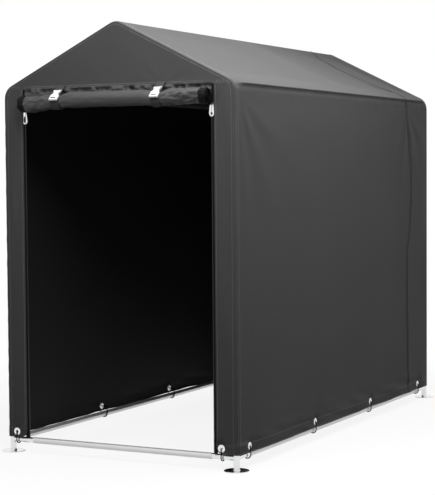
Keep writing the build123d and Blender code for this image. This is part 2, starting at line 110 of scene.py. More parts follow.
def centres(node):
    """The middle of each separate solid of a node."""
    shape = bmesh.new()
    shape.from_mesh(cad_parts[node].data)
    bmesh.ops.remove_doubles(shape, verts=shape.verts, dist=1e-6)
    left, found = set(shape.verts), []
    while left:
        group, edge = set(), [left.pop()]
        while edge:
            vertex = edge.pop()
            group.add(vertex)
            for link in vertex.link_edges:
                other = link.other_vert(vertex)
                if other in left:
                    left.remove(other)
                    edge.append(other)
        low = Vector(min(v.co[i] for v in group) for i in range(3))
        high = Vector(max(v.co[i] for v in group) for i in range(3))
        found.append((low + high) / 2)
    shape.free()
    return sorted(found, key=lambda point: (round(point.y, 4), round(point.x, 4)))


EYELETS = {side: centres(f"eyelets_{side}") for side in ("left", "right", "front", "rear")}
EYELET_RISE = EYELETS["right"][0].z - HEM


# Shader maths and materials
class Value:
    """A shader value that Python's operators combine through Math nodes."""

    def __init__(self, finish, socket):
        self.finish, self.socket = finish, socket

    def math(self, operation, *others, turned=False):
        values = [*others, self] if turned else [self, *others]
        return self.finish.node("ShaderNodeMath", dict(enumerate(values)), operation=operation)

    def __add__(self, other):
        return self.math("ADD", other)

    def __sub__(self, other):
        return self.math("SUBTRACT", other)

    def __rsub__(self, other):
        return self.math("SUBTRACT", other, turned=True)

    def __mul__(self, other):
        return self.math("MULTIPLY", other)

    def __truediv__(self, other):
        return self.math("DIVIDE", other)

    def __pow__(self, other):
        return self.math("POWER", other)

    __radd__ = __add__
    __rmul__ = __mul__


class Finish:
    """A material that is being made: its nodes and its main shader."""

    def __init__(self, name, color, roughness, **uniform):
        self.material = bpy.data.materials.new(name)
        self.material.use_nodes = True
        self.tree = self.material.node_tree
        self.shader = self.tree.nodes["Principled BSDF"]
        self.color = (*color, 1.0)
        self.set("Base Color", self.color)
        self.set("Roughness", roughness)
        for key, value in uniform.items():
            self.set(key.replace("_", " "), value)

    def node(self, kind, inputs=(), out=0, **settings):
        """Any node: its settings first, then the values or links of its sockets."""
        made = self.tree.nodes.new(kind)
        for key, value in settings.items():
            if key == "stops":
                for stop, (place, color) in zip(made.color_ramp.elements, value):
                    stop.position, stop.color = place, color
            else:
                setattr(made, key, value)
        for key, value in dict(inputs).items():
            if isinstance(value, Value):
                self.tree.links.new(value.socket, made.inputs[key])
            else:
                made.inputs[key].default_value = value
        return Value(self, made.outputs[out])

    def set(self, name, value):
        if isinstance(value, Value):
            self.tree.links.new(value.socket, self.shader.inputs[name])
        else:
            self.shader.inputs[name].default_value = value

    def place(self, uv=False):
        return self.node("ShaderNodeTexCoord", out="UV" if uv else "Object")

    def noise(self, place, scale, detail=3.0, rough=0.5):
        inputs = {"Vector": place, "Scale": scale, "Detail": detail, "Roughness": rough}
        return self.node("ShaderNodeTexNoise", inputs)

    def split(self, place):
        parts = self.node("ShaderNodeSeparateXYZ", {0: place})
        sockets = parts.socket.node.outputs
        return [Value(self, sockets[axis]) for axis in "XYZ"]

    def blend(self, factor, a, b):
        """A colour between a and b."""
        return self.node(
            "ShaderNodeMix", {"Factor": factor, 6: (*a, 1), 7: (*b, 1)}, out=2, data_type="RGBA"
        )

    def tint(self, factor, low, high):
        """Varies the base colour between two shares of itself."""
        pale = [min(c * high, 1) for c in self.color[:3]]
        self.set("Base Color", self.blend(factor, [c * low for c in self.color[:3]], pale))

    def bump(self, height, distance, strength=1.0):
        inputs = {"Height": height, "Distance": distance, "Strength": strength}
        self.set("Normal", self.node("ShaderNodeBump", inputs))

    def weave(self, place, pitch):
        """A plain weave: raised threads that pass over and under one another."""
        across, along, _ = self.split(place)
        warp = (across * (pi / pitch)).math("SINE").math("ABSOLUTE")
        weft = (along * (pi / pitch)).math("SINE").math("ABSOLUTE")
        checks = self.node("ShaderNodeTexChecker", {"Vector": place, "Scale": 1 / pitch}, out=1)
        return warp * checks + weft * (1 - checks)


def cloth_finish(name, color, roughness, thread, crumple, relief=0.0016, specular=0.05):
    """Coated polyester cloth: a fine weave, handling marks and a slightly uneven tone."""
    made = Finish(name, color, roughness, Specular_IOR_Level=specular)
    place = made.place(uv=True)
    broad = made.noise(place, 2.2, 4.0, 0.55)
    fine = made.noise(place, 60.0, 4.0, 0.6)
    made.tint(broad * 0.7 + fine * 0.3, 0.86, 1.14)
    made.set("Roughness", broad * 0.16 + (roughness - 0.08))
    ridges = (made.noise(place, crumple, 3.0, 0.5) - 0.5).math("ABSOLUTE")
    made.bump(ridges * -relief + made.weave(place, thread) * 0.00012, 1.0, 0.7)
    return made.material


def metal_finish(name, color, roughness, metallic, scratch):
    """Metal or painted metal: faint blotches, fine scratches along Z and an uneven gloss."""
    made = Finish(name, color, roughness, Metallic=metallic)
    place = made.place()
    stretched = made.node("ShaderNodeMapping", {"Vector": place, "Scale": (1.0, 1.0, 0.08)})
    marks = made.noise(stretched, scratch, 2.0, 0.7)
    blotches = made.noise(place, 14.0, 3.0)
    made.tint(blotches * 0.6 + marks * 0.4, 0.9, 1.08)
    made.set("Roughness", marks * 0.2 + (roughness - 0.1))
    made.bump(made.noise(place, 900.0, 1.0), 0.00008, 0.5)
    return made.material


def plastic_finish(name, color, roughness, coat=0.0):
    made = Finish(name, color, roughness, Coat_Weight=coat, Coat_Roughness=0.1)
    place = made.place()
    made.tint(made.noise(place, 40.0), 0.95, 1.04)
    made.bump(made.noise(place, 1500.0, 1.0), 0.00004, 0.4)
    return made.material


def webbing_finish(name, color, thread):
    """Woven strap: chevron ribs along its length."""
    made = Finish(name, color, 0.75, Specular_IOR_Level=0.2)
    place = made.place(uv=True)
    across, along, _ = made.split(place)
    slant = (across * (1 / thread)).math("PINGPONG", 1.0)
    ribs = ((along * (1 / thread) + slant) * pi).math("SINE").math("ABSOLUTE")
    made.tint(ribs, 0.7, 1.15)
    made.bump(ribs, 0.0004, 0.8)
    return made.material


def cord_finish(name, color):
    """Braided elastic: a crossed braid."""
    made = Finish(name, color, 0.9, Specular_IOR_Level=0.02)
    place = made.place()
    x, y, z = made.split(place)
    one = ((z + x + y) * 1400.0).math("SINE")
    two = ((z - x - y) * 1400.0).math("SINE")
    made.bump(one * two, 0.0004, 0.8)
    made.tint(made.noise(place, 200.0), 0.7, 1.3)
    return made.material


# Surfaces of the cover
def outline(s, inset=0.0):
    """A point of the right half's outline and the way out of it, s along it from the hem."""
    if s <= EAVE_START:
        return Vector((WALL - inset, 0, HEM + s)), Vector((1, 0, 0))
    if s <= SLOPE_START:
        turn = (s - EAVE_START) / ROUNDING
        out = Vector((cos(turn), 0, sin(turn)))
        return Vector((EAVE_X, 0, EAVE_Z)) + out * (ROUNDING - inset), out
    out = Vector((sin(PITCH), 0, cos(PITCH)))
    if s <= SLOPE_END:
        share = (s - SLOPE_START) / SLOPE
        centre = Vector((EAVE_X, 0, EAVE_Z)).lerp(Vector((0, 0, RIDGE_Z)), share)
        return centre + out * (ROUNDING - inset), out
    turn = EAVE_TURN + (s - SLOPE_END) / ROUNDING
    out = Vector((cos(turn), 0, sin(turn)))
    return Vector((0, 0, RIDGE_Z)) + out * (ROUNDING - inset), out


FOLD = 0.005  # radius of the crease along the eaves
TANGENT = ROUNDING * tan(EAVE_TURN / 2)
CREASE = (EAVE_START + SLOPE_START) / 2


def taut(s):
    """The same point away from the fittings: a crease over the eave, and the ridge's tube."""
    if s <= EAVE_START:
        return outline(s)
    slope_out = Vector((sin(PITCH), 0, cos(PITCH)))
    corner = Vector((WALL, 0, EAVE_Z + TANGENT))
    if s < SLOPE_START:
        cut = FOLD * tan(EAVE_TURN / 2)
        flat, arc = TANGENT - cut, FOLD * EAVE_TURN
        run = (s - EAVE_START) / EAVE_RUN * (2 * flat + arc)
        if run <= flat:
            return Vector((WALL, 0, EAVE_Z + run)), Vector((1, 0, 0))
        if run < flat + arc:
            turn = (run - flat) / FOLD
            out = Vector((cos(turn), 0, sin(turn)))
            return corner + Vector((-FOLD, 0, -cut)) + out * FOLD, out
        along = run - flat - arc + cut
        return corner + Vector((-cos(PITCH), 0, sin(PITCH))) * along, slope_out
    ridge = Vector((0, 0, CREST - RIM))
    if s <= SLOPE_END:
        start = outline(SLOPE_START)[0]
        return start.lerp(ridge + slope_out * RIM, (s - SLOPE_START) / SLOPE), slope_out
    turn = EAVE_TURN + (s - SLOPE_END) / ROUNDING
    out = Vector((cos(turn), 0, sin(turn)))
    return ridge + out * RIM, out


SEAM_BOW = [
    (0.00, 0.000), (0.45, -0.005), (0.68, -0.006), (0.83, 0.032), (0.98, 0.050), (1.09, 0.046),
    (1.24, 0.022), (1.34, -0.008), (1.42, -0.010), (1.50, 0.020), (1.60, -0.030), (1.70, -0.075),
    (1.80, -0.065), (1.90, -0.010), (1.98, 0.035), (2.06, 0.050),
]


def seam_shift(s):
    """How far the seam of the rear band wanders to the rear at a height along the cloth."""
    for (low, a), (high, b) in zip(SEAM_BOW, SEAM_BOW[1:]):
        if s <= high:
            return mix(a, b, smooth((s - low) / (high - low)))
    return SEAM_BOW[-1][1]


def fan(dy, ds, folds, reach, phase=0.0):
    """Folds that spread from a point, fading over their reach."""
    far = hypot(dy, ds)
    return cos(folds * atan2(ds, dy) + phase) * exp(-far / reach) * smooth(far / 0.02)


def calm(along, up, points):
    """0 on an eyelet's ring, and 1 away from it."""
    return smooth((min(hypot(along - point, up - EYELET_RISE) for point in points) - 0.015) / 0.018)


def hem_wave(along, up, points):
    """The hem's ripple: it stands off between the eyelets and is pulled in at each."""
    near = min(points, key=lambda point: abs(along - point))
    free = smooth(abs(along - near) / 0.12)
    level = up + along * 0.12
    coarse = 0.5 * rumple(along * 3.0, level * 16.0, 4.0)
    ripple = 0.4 + coarse + 0.4 * rumple(along * 6.0, level * 34.0, 9.0)
    tug = fan(along - near, up - EYELET_RISE, 7, 0.045)
    streak = rumple(along * 5.0 + up * 30.0, up * 24.0, 2.0) * smooth(free * 2) * 0.0018
    return (free * 0.0045 * ripple + 0.0022 * tug + streak) * exp(-max(up - 0.05, 0) / 0.05)


def wall_billow(sign, y, s, ends):
    """Soft waves, slack folds from the top corners and the ripples of the hem."""
    free = ends * smooth((EAVE_START + 0.02 - s) / 0.18)
    points = [point.y for point in EYELETS["right" if sign > 0 else "left"]]
    broad = rumple(y * 1.1, s * 0.9, sign * 5.0) * 0.0050 + rumple(y * 2.9, s * 1.7, sign * 8.0) * 0.0022
    slack = fan(y - FRONT, s - EAVE_START, 13, 0.26) * 0.0034
    gather = fan(y - REAR_SEAM, s - EAVE_START, 11, 0.15, 0.8) * 0.0078
    crease = exp(-abs(s - 0.90 - 0.10 * (y - FRONT)) / 0.006) * 0.0006
    low = exp(-abs(s - 0.17 + 0.10 * (y - FRONT)) / 0.010) * smooth((0.2 - y) / 0.8) * 0.0010
    waves = free * (0.002 + broad + slack + gather + crease + low)
    return (waves + ends * hem_wave(y, s, points)) * calm(y, s, points)


def roof_billow(sign, y, s, ends):
    """The roof sags between its rafters and gathers at the rear seam and the apex."""
    free = ends * smooth((s - SLOPE_START) / 0.12) * smooth((RIDGE - s) / 0.10)
    bay = smooth((abs(y - MIDDLE) - 0.02) / 0.25)
    broad = rumple(y * 1.3, s * 1.6, sign * 2.0) * 0.0040 + rumple(y * 4.0, s * 3.2, sign * 6.0) * 0.0010
    gather = fan(y - REAR_SEAM, s - SLOPE_START, 9, 0.15, 0.3) * 0.0058
    apex = fan(y - FRONT, s - SLOPE_END, 13, 0.09) * 0.0020
    return free * (bay * (broad - 0.009) + gather + apex)


def eave_billow(y, s, ends):
    """The crease along the eave stands a little proud, over a hollow line, and puckers."""
    over = exp(-(((s - CREASE) / 0.004) ** 2)) * 0.0022
    under = exp(-(((s - CREASE + 0.013) / 0.007) ** 2)) * -0.0022
    pucker = exp(-(((s - CREASE + 0.012) / 0.030) ** 2)) * rumple(y * 26.0, s * 14.0, 3.0) * 0.0013
    wander = exp(-(((s - CREASE) / 0.05) ** 2)) * rumple(y * 3.5, 1.0, 5.0) * 0.0016
    return ends * (over + under + pucker + wander)


def side_billow(sign, y, s):
    """How far the cloth of a side stands out of its taut shape."""
    ends = smooth((y - FRONT) / 0.08) * smooth((REAR - y) / 0.08)
    to_seam = abs(y - REAR_SEAM - seam_shift(s))
    puckers = exp(-to_seam / 0.020) * (0.3 + 0.9 * rumple(s * 38.0, sign * 3.0, 2.0)) * 0.0027
    at_front = exp(-(y - FRONT) / 0.024) * smooth((y - FRONT) / 0.006)
    corner = at_front * rumple(s * 30.0, sign, 7.0) * 0.0014 * smooth((EAVE_START - s) / 0.05)
    groove = -0.0045 * exp(-((to_seam / 0.0045) ** 2))
    total = puckers + corner + groove
    if s < EAVE_START + 0.02:
        total += wall_billow(sign, y, s, ends)
    if s > EAVE_START - 0.08:
        total += eave_billow(y, s, ends)
    if s > SLOPE_START:
        total += roof_billow(sign, y, s, ends)
    return total


def side_point(sign, y, s, lift=0.0):
    """A point of the cloth over one side, from the hem to the ridge."""
    crisp = smooth((y - FRONT - 0.003) / 0.05) * smooth((REAR - 0.003 - y) / 0.05)
    low = smooth((y - FRONT - 0.03) / 0.28) * smooth((REAR - 0.03 - y) / 0.28)
    share = mix(crisp, low, smooth((s - SLOPE_START) / SLOPE))
    (a, out_a), (b, out_b) = outline(s), taut(s)
    out = out_a.lerp(out_b, share).normalized()
    point = a.lerp(b, share) + out * (side_billow(sign, y, s) + lift)
    if s < 0.10:
        points = [place.y for place in EYELETS["right" if sign > 0 else "left"]]
        free = smooth(min(abs(y - place) for place in points) / 0.16)
        point.z += free * (1 - s / 0.10) * (0.0035 * rumple(y * 5.0, sign, 1.0) - 0.0030)
    return Vector((sign * point.x, y, point.z))


def end_x(z, inset):
    """Half the width of the cover at a height, in from its outline."""
    if z <= EAVE_Z:
        return WALL - inset
    return EAVE_X + sqrt(max((ROUNDING - inset) ** 2 - (z - EAVE_Z) ** 2, 0.0))


def end_top(x):
    """The height of the flat part of an end wall at a distance from the middle."""
    x, reach = abs(x), ROUNDING - RIM
    if x < reach * sin(PITCH):
        return RIDGE_Z + sqrt(reach**2 - x**2)
    if x < EAVE_X + reach * sin(PITCH):
        return RIDGE_Z + reach / cos(PITCH) - x * sin(PITCH) / cos(PITCH)
    return EAVE_Z + sqrt(max(reach**2 - (x - EAVE_X) ** 2, 0.0))


def stations(low, high, marks, fine, coarse, growth=0.18):
    """Places from low to high, close together near the marks, with one on every mark."""
    inner = [mark for mark in marks if low + 1e-4 < mark < high - 1e-4]
    stops = [low, *sorted(inner), high]
    dense = [*marks]
    places = [low]
    for a, b in zip(stops, stops[1:]):
        steps = 60
        weights = []
        for i in range(steps):
            at = mix(a, b, (i + 0.5) / steps)
            near = min([abs(at - mark) for mark in dense] or [1.0])
            weights.append((b - a) / steps / min(coarse, fine + near * growth))
        count = max(1, ceil(sum(weights)))
        share, goal, total = 0.0, 1, sum(weights)
        for i, weight in enumerate(weights):
            while goal < count and share + weight >= total * goal / count:
                part = (total * goal / count - share) / weight
                places.append(mix(a, b, (i + part) / steps))
                goal += 1
            share += weight
        places.append(b)
    return places


def grid_object(name, grids, materials, holes=(), hole=0.012):
    """One mesh from grids of points; each grid is rows of points and rows of UVs."""
    points, coords, faces = [], [], []
    for rows, uvs in grids:
        start, width = len(points), len(rows[0])
        for row, uv in zip(rows, uvs):
            points += row
            coords += uv
        for i in range(len(rows) - 1):
            for j in range(width - 1):
                a = start + i * width + j
                faces.append((a, a + 1, a + 1 + width, a + width))
    mesh = bpy.data.meshes.new(name)
    mesh.from_pydata(points, [], faces)
    layer = mesh.uv_layers.new(name="cloth")
    flat = [value for loop in mesh.loops for value in coords[loop.vertex_index]]
    layer.data.foreach_set("uv", flat)
    shape = bmesh.new()
    shape.from_mesh(mesh)
    torn = [
        face for face in shape.faces
        if any(all((v.co - place).length < hole for v in face.verts) for place in holes)
    ]
    bmesh.ops.delete(shape, geom=torn, context="FACES")
    bmesh.ops.remove_doubles(shape, verts=shape.verts, dist=2e-6)
    bmesh.ops.dissolve_degenerate(shape, edges=shape.edges, dist=1e-6)
    for face in shape.faces:
        face.smooth = True
    for edge in shape.edges:
        edge.smooth = not edge.is_boundary
    shape.to_mesh(mesh)
    shape.free()
    for material in materials:
        mesh.materials.append(material)
    made = bpy.data.objects.new(name, mesh)
    bpy.context.scene.collection.objects.link(made)
    return made


def thicken(made, thickness, inner_material=True):
    """Gives cloth its thickness, inwards, with its other face in the second material."""
    solid = made.modifiers.new("Thickness", "SOLIDIFY")
    solid.thickness = thickness
    solid.offset = -1.0
    solid.material_offset = 1 if inner_material else 0
    return made


def seat(made, slot, *nodes):
    """Puts a finished piece on the shelter, in the place of its nodes."""
    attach(made, "root")
    if nodes:
        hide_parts(*nodes)
    return made


def close_rims(made):
    """Fills the open rims of a mesh and turns its faces outward."""
    shape = bmesh.new()
    shape.from_mesh(made.data)
    rims = [edge for edge in shape.edges if edge.is_boundary]
    bmesh.ops.holes_fill(shape, edges=rims, sides=0)
    bmesh.ops.recalc_face_normals(shape, faces=shape.faces)
    shape.to_mesh(made.data)
    shape.free()


def tube_along(name, path, radius, material, sides=8, closed=False):
    """A round bead along a path."""
    rows = []
    count = len(path)
    side = None
    for i, point in enumerate(path):
        ahead = path[(i + 1) % count] if closed or i + 1 < count else point
        behind = path[i - 1] if closed or i else point
        way = (ahead - behind).normalized()
        if side is None:
            side = way.orthogonal().normalized()
        side = (side - way * side.dot(way)).normalized()
        other = way.cross(side)
        ring = [
            point + (side * cos(2 * pi * k / sides) + other * sin(2 * pi * k / sides)) * radius
            for k in range(sides + 1)
        ]
        rows.append(ring)
    uvs = [[(k / sides * radius * 2 * pi, i * 0.01) for k in range(sides + 1)] for i in range(count)]
    made = grid_object(name, [(rows, uvs)], [material])
    close_rims(made)
    return made


# Geometry Nodes: small pieces in rows along paths
def row_tree(name, shape_kind, shape_inputs, material):
    """A tree that sets one small shape after another along every path of a mesh of edges."""
    tree = bpy.data.node_groups.new(name, "GeometryNodeTree")
    face = tree.interface
    face.new_socket("Geometry", in_out="INPUT", socket_type="NodeSocketGeometry")
    for label, default in (("Pitch", 0.006), ("Length", 0.004), ("Width", 0.001), ("Unevenness", 0.1)):
        socket = face.new_socket(label, in_out="INPUT", socket_type="NodeSocketFloat")
        socket.default_value = default
    face.new_socket("Geometry", in_out="OUTPUT", socket_type="NodeSocketGeometry")

    def node(kind, inputs=(), **settings):
        made = tree.nodes.new(kind)
        for key, value in settings.items():
            setattr(made, key, value)
        for key, value in dict(inputs).items():
            if isinstance(value, bpy.types.NodeSocket):
                tree.links.new(value, made.inputs[key])
            else:
                made.inputs[key].default_value = value
        return made

    entry = node("NodeGroupInput").outputs
    curve = node("GeometryNodeMeshToCurve", {"Mesh": entry["Geometry"]})
    spread = node(
        "GeometryNodeResampleCurve",
        {"Curve": curve.outputs[0], "Length": entry["Pitch"]},
        mode="LENGTH",
    )
    turn = node(
        "FunctionNodeAlignRotationToVector",
        {"Vector": node("GeometryNodeInputTangent").outputs[0]},
        axis="X",
    )
    shape = node(shape_kind, shape_inputs)
    size = node("ShaderNodeCombineXYZ", {0: entry["Length"], 1: entry["Width"], 2: entry["Width"]})
    spare = node("ShaderNodeMath", {0: 1.0, 1: entry["Unevenness"]}, operation="SUBTRACT")
    vary = node("FunctionNodeRandomValue", {"Seed": 7}, data_type="FLOAT")
    tree.links.new(spare.outputs[0], vary.inputs[2])
    scaled = node("ShaderNodeVectorMath", {0: size.outputs[0]}, operation="SCALE")
    tree.links.new(vary.outputs[1], scaled.inputs["Scale"])
    placed = node(
        "GeometryNodeInstanceOnPoints",
        {
            "Points": spread.outputs[0],
            "Instance": shape.outputs[0],
            "Rotation": turn.outputs[0],
            "Scale": scaled.outputs[0],
        },
    )
    real = node("GeometryNodeRealizeInstances", {0: placed.outputs[0]})
    dressed = node("GeometryNodeSetMaterial", {"Geometry": real.outputs[0], "Material": material})
    node("NodeGroupOutput", {0: dressed.outputs[0]})
    return tree


def row_object(name, paths, tree, sizes, material):
    """The pieces of a tree along the paths, as a plain mesh."""
    points, edges = [], []
    for path in paths:
        start = len(points)
        points += path
        edges += [(start + i, start + i + 1) for i in range(len(path) - 1)]
    guide = bpy.data.meshes.new(name)
    guide.from_pydata(points, edges, [])
    made = bpy.data.objects.new(name, guide)
    bpy.context.scene.collection.objects.link(made)
    rows = made.modifiers.new("Rows", "NODES")
    rows.node_group = tree
    for socket in tree.interface.items_tree:
        if socket.item_type == "SOCKET" and socket.name in sizes:
            rows[socket.identifier] = sizes[socket.name]
    bpy.context.view_layer.update()
    ready = made.evaluated_get(bpy.context.evaluated_depsgraph_get())
    mesh = bpy.data.meshes.new_from_object(ready)
    made.modifiers.remove(rows)
    made.data = mesh
    mesh.name = name
    if not mesh.materials:
        mesh.materials.append(material)
    for face in mesh.polygons:
        face.use_smooth = True
    return made


# Settings that a user would change
class CoverSettings(bpy.types.PropertyGroup):
    """Cloth of the cover."""

    outside: FloatVectorProperty(
        name="Outside", description="Colour of the cloth's coated face", subtype="COLOR",
        size=3, default=(0.070, 0.070, 0.071), min=0, max=1,
    )
    inside: FloatVectorProperty(
        name="Inside", description="Colour of the cloth's inner face", subtype="COLOR",
        size=3, default=(0.020, 0.020, 0.020), min=0, max=1,
    )
    thickness: FloatProperty(
        name="Thickness", description="Thickness of the cloth", unit="LENGTH", default=0.0012
    )
    thread: FloatProperty(
        name="Thread", description="From one thread to the next", unit="LENGTH", default=0.0011
    )
    mesh_size: FloatProperty(
        name="Mesh size", description="Widest spacing of the cloth's mesh", unit="LENGTH", default=0.022
    )
    hem: FloatProperty(name="Hem", description="Height of the doubled hem", unit="LENGTH", default=0.040)


class DoorSettings(bpy.types.PropertyGroup):
    """The rolled door and what holds it."""

    height: FloatProperty(
        name="Height", description="Height of the unrolled door", unit="LENGTH", default=1.44
    )
    thickness: FloatProperty(
        name="Thickness", description="Thickness of the door's cloth", unit="LENGTH", default=0.0006
    )
    crumple: FloatProperty(
        name="Crumple", description="Depth of the roll's creases against its radius", default=0.10
    )
    web: FloatVectorProperty(
        name="Webbing", description="Colour of the straps", subtype="COLOR",
        size=3, default=(0.052, 0.052, 0.053), min=0, max=1,
    )


class TrimSettings(bpy.types.PropertyGroup):
    """Stitches, zips and metal."""

    stitch_pitch: FloatProperty(
        name="Stitch pitch", description="From one stitch to the next", unit="LENGTH", default=0.0100
    )
    stitch_length: FloatProperty(
        name="Stitch length", description="Length of a stitch", unit="LENGTH", default=0.0065
    )
    thread_width: FloatProperty(
        name="Thread width", description="Thickness of the thread", unit="LENGTH", default=0.0014
    )
    tooth_pitch: FloatProperty(
        name="Tooth pitch", description="From one zip tooth to the next", unit="LENGTH", default=0.0040
    )
    thread_color: FloatVectorProperty(
        name="Thread", description="Colour of the thread", subtype="COLOR",
        size=3, default=(0.34, 0.34, 0.34), min=0, max=1,
    )


class StageSettings(bpy.types.PropertyGroup):
    """Camera, lamps and floor."""

    camera_place: FloatVectorProperty(
        name="Camera", description="Place of the camera", unit="LENGTH", size=3,
        default=(3.171, -6.353, 1.169),
    )
    yaw: FloatProperty(
        name="Yaw", description="How far the camera is turned to the left", unit="ROTATION",
        default=radians(27.22),
    )
    pitch: FloatProperty(
        name="Pitch", description="How far the camera looks up", unit="ROTATION", default=radians(-2.92)
    )
    roll: FloatProperty(
        name="Roll", description="How far the camera leans", unit="ROTATION", default=radians(-0.42)
    )
    lens: FloatProperty(name="Lens", description="Focal length in millimetres", default=112.4)
    key: FloatProperty(name="Key", description="Power of the overhead lamp in watts", default=132.0)
    front: FloatProperty(name="Front", description="Power of the front lamp in watts", default=18.0)
    sides: FloatProperty(
        name="Sides", description="Power of the left and rear lamps in watts", default=24.0
    )
    fill: FloatProperty(name="Fill", description="Level of the light from all round", default=0.05)


MATERIALS = {}


def finish(name):
    """The material of that name, made when it is first asked for."""
    if name not in MATERIALS:
        scene = bpy.context.scene
        cover, door, trim = scene.shelter_cover, scene.shelter_door, scene.shelter_trim
        makers = {
            "cloth outside": lambda: cloth_finish(name, cover.outside, 0.58, cover.thread, 9.0),
            "gable cloth": lambda: cloth_finish(name, cover.outside, 0.6, cover.thread, 9.0),
            "cloth inside": lambda: cloth_finish(name, cover.inside, 0.7, cover.thread, 9.0, 0.0, 0.1),
            "door cloth": lambda: cloth_finish(
                name, cover.outside, 0.45, cover.thread, 46.0, 0.0036, 0.2
            ),
            "zip cloth": lambda: cloth_finish(name, (0.010, 0.010, 0.010), 0.6, 0.0016, 30.0),
            "webbing": lambda: webbing_finish(name, door.web, 0.0028),
            "thread": lambda: plastic_finish(name, trim.thread_color, 0.6),
            "tube paint": lambda: metal_finish(name, (0.80, 0.805, 0.80), 0.32, 0.55, 220.0),
            "fitting paint": lambda: metal_finish(name, (0.72, 0.725, 0.725), 0.36, 0.5, 160.0),
            "plated steel": lambda: metal_finish(name, (0.76, 0.765, 0.775), 0.20, 1.0, 240.0),
            "eyelet nickel": lambda: metal_finish(name, (0.95, 0.95, 0.95), 0.28, 0.75, 400.0),
            "zip metal": lambda: metal_finish(name, (0.88, 0.88, 0.88), 0.18, 1.0, 400.0),
            "zip teeth": lambda: plastic_finish(name, (0.02, 0.02, 0.021), 0.35),
            "buckle plastic": lambda: plastic_finish(name, (0.85, 0.85, 0.85), 0.25, 0.5),
            "elastic": lambda: cord_finish(name, (0.003, 0.003, 0.003)),
        }
        MATERIALS[name] = makers[name]()
    return MATERIALS[name]


CAD_FINISHES = {
    "tube paint": ("post_", "bottom_rail_", "eave_rail_", "rafters_", "ridge_rail"),
    "fitting paint": ("eave_corner_", "ridge_end_", "eave_tee_", "ridge_cross"),
    "plated steel": ("foot_",),
    "buckle plastic": ("buckle_",),
    "elastic": ("elastic_loops_",),
}


class SHELTER_OT_frame_finishes(bpy.types.Operator):
    """Gives the steel frame, the buckles and the metal parts their finishes"""

    bl_idname = "shelter.frame_finishes"
    bl_label = "Frame finishes"

    def execute(self, context):
        for name, starts in CAD_FINISHES.items():
            for node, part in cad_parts.items():
                if node.startswith(starts):
                    for place in part.material_slots:
                        place.material = finish(name)
        return {"FINISHED"}


def side_sheet(context, sign, name, y_range, s_range, slot):
    """One panel of a side of the cover, from a range along the shelter and one up the cloth."""
    cover = context.scene.shelter_cover
    side = "right" if sign > 0 else "left"
    rear = y_range[0] > MIDDLE
    low = s_range[0] < EAVE_START / 2
    eyelet_y = [point.y for point in EYELETS[side] if y_range[0] < point.y < y_range[1]]
    marks_y = [FRONT, REAR, REAR_SEAM] + (eyelet_y if low else [])
    marks_s = [0.0, EYELET_RISE, cover.hem, cover.hem + 0.0015, EAVE_START, SLOPE_START, SLOPE_END, RIDGE]
    columns = stations(*y_range, marks_y, 0.008, cover.mesh_size)
    heights = stations(*s_range, marks_s, 0.008, cover.mesh_size)
    if not low:
        heights = stations(s_range[0], SLOPE_START, [CREASE], 0.0012, 0.006)
        heights += stations(SLOPE_START, s_range[1], marks_s, 0.006, cover.mesh_size)[1:]
    rows, uvs = [], []
    for s in heights:
        band = 0.0011 if s <= cover.hem + 1e-6 else 0.0
        row, uv = [], []
        for y in columns:
            if rear:
                share = smooth((REAR - y) / (REAR - REAR_SEAM))
            else:
                share = smooth((y - REAR_SEAM + 0.45) / 0.45)
            at = y + seam_shift(s) * share
            to_seam = abs(y - REAR_SEAM)
            welt = 0.0012 if (rear and to_seam < 0.014) else 0.0
            if low:
                band *= calm(at, s, eyelet_y or [REAR])
            row.append(side_point(sign, at, s, band + welt))
            uv.append((at, s + sign * 4))
        rows.append(row if sign > 0 else row[::-1])
        uvs.append(uv if sign > 0 else uv[::-1])
    holes = [Vector((sign * WALL, p.y, p.z)) for p in EYELETS[side]] if low else []
    made = grid_object(
        name, [(rows, uvs)], [finish("cloth outside"), finish("cloth inside")], holes, 0.016
    )
    thicken(made, cover.thickness)
    seat(made, slot, name)
    flat = (s_range[1] - s_range[0], y_range[1] - y_range[0])
    return made


class SHELTER_OT_side_cloth(bpy.types.Operator):
    """Makes the side walls, the roof and the rear band on both sides"""

    bl_idname = "shelter.side_cloth"
    bl_label = "Side cloth"

    def execute(self, context):
        lengths = {"": (FRONT, REAR_SEAM), "rear_band_": (REAR_SEAM, REAR)}
        for sign, side in ((-1, "left"), (1, "right")):
            for prefix, span in lengths.items():
                side_sheet(
                    context, sign, f"{prefix}wall_{side}", span, (0.0, EAVE_START), "cover_fabric"
                )
                side_sheet(
                    context, sign, f"{prefix}roof_{side}", span, (EAVE_START, RIDGE), "cover_fabric"
                )
        return {"FINISHED"}


STRIP_CORNER = 0.030  # rounding of a strip's lower inner corner
RIM_STEPS = 7


def strip_billow(sign, x, z):
    """How far a front strip stands out of its flat shape; x is from the doorway's edge."""
    eyelet = next(point for point in EYELETS["front"] if point.x * sign > 0)
    place = abs(eyelet.x) - STRIP_EDGE
    free = smooth(x / 0.012) * smooth((0.080 - x) / 0.03)
    long_fold = rumple(x * 12.0 + z * 2.6, z * 0.9, sign * 3.0) * 0.0042
    drag = rumple(x * 26.0 - z * 7.0, z * 2.0, sign * 5.0) * 0.0036 * smooth(z - 0.5)
    creases = sum(exp(-abs(z - at - x * 0.3) / 0.004) for at in (0.31, 0.71, 1.20)) * 0.0010
    top = exp(-(DOOR_SEAM - z) / 0.04) * rumple(x * 40.0, z * 20.0, sign) * 0.0022
    low = exp(-(z - HEM) / 0.06) * (rumple(x * 26.0, z * 16.0, sign * 2.0) * 0.0018)
    tug = fan(x - place, z - HEM - EYELET_RISE, 7, 0.04) * 0.0016
    shape = free * (0.0012 + long_fold + drag) + creases + top + low + tug
    return shape * calm(x, z - HEM, [place])


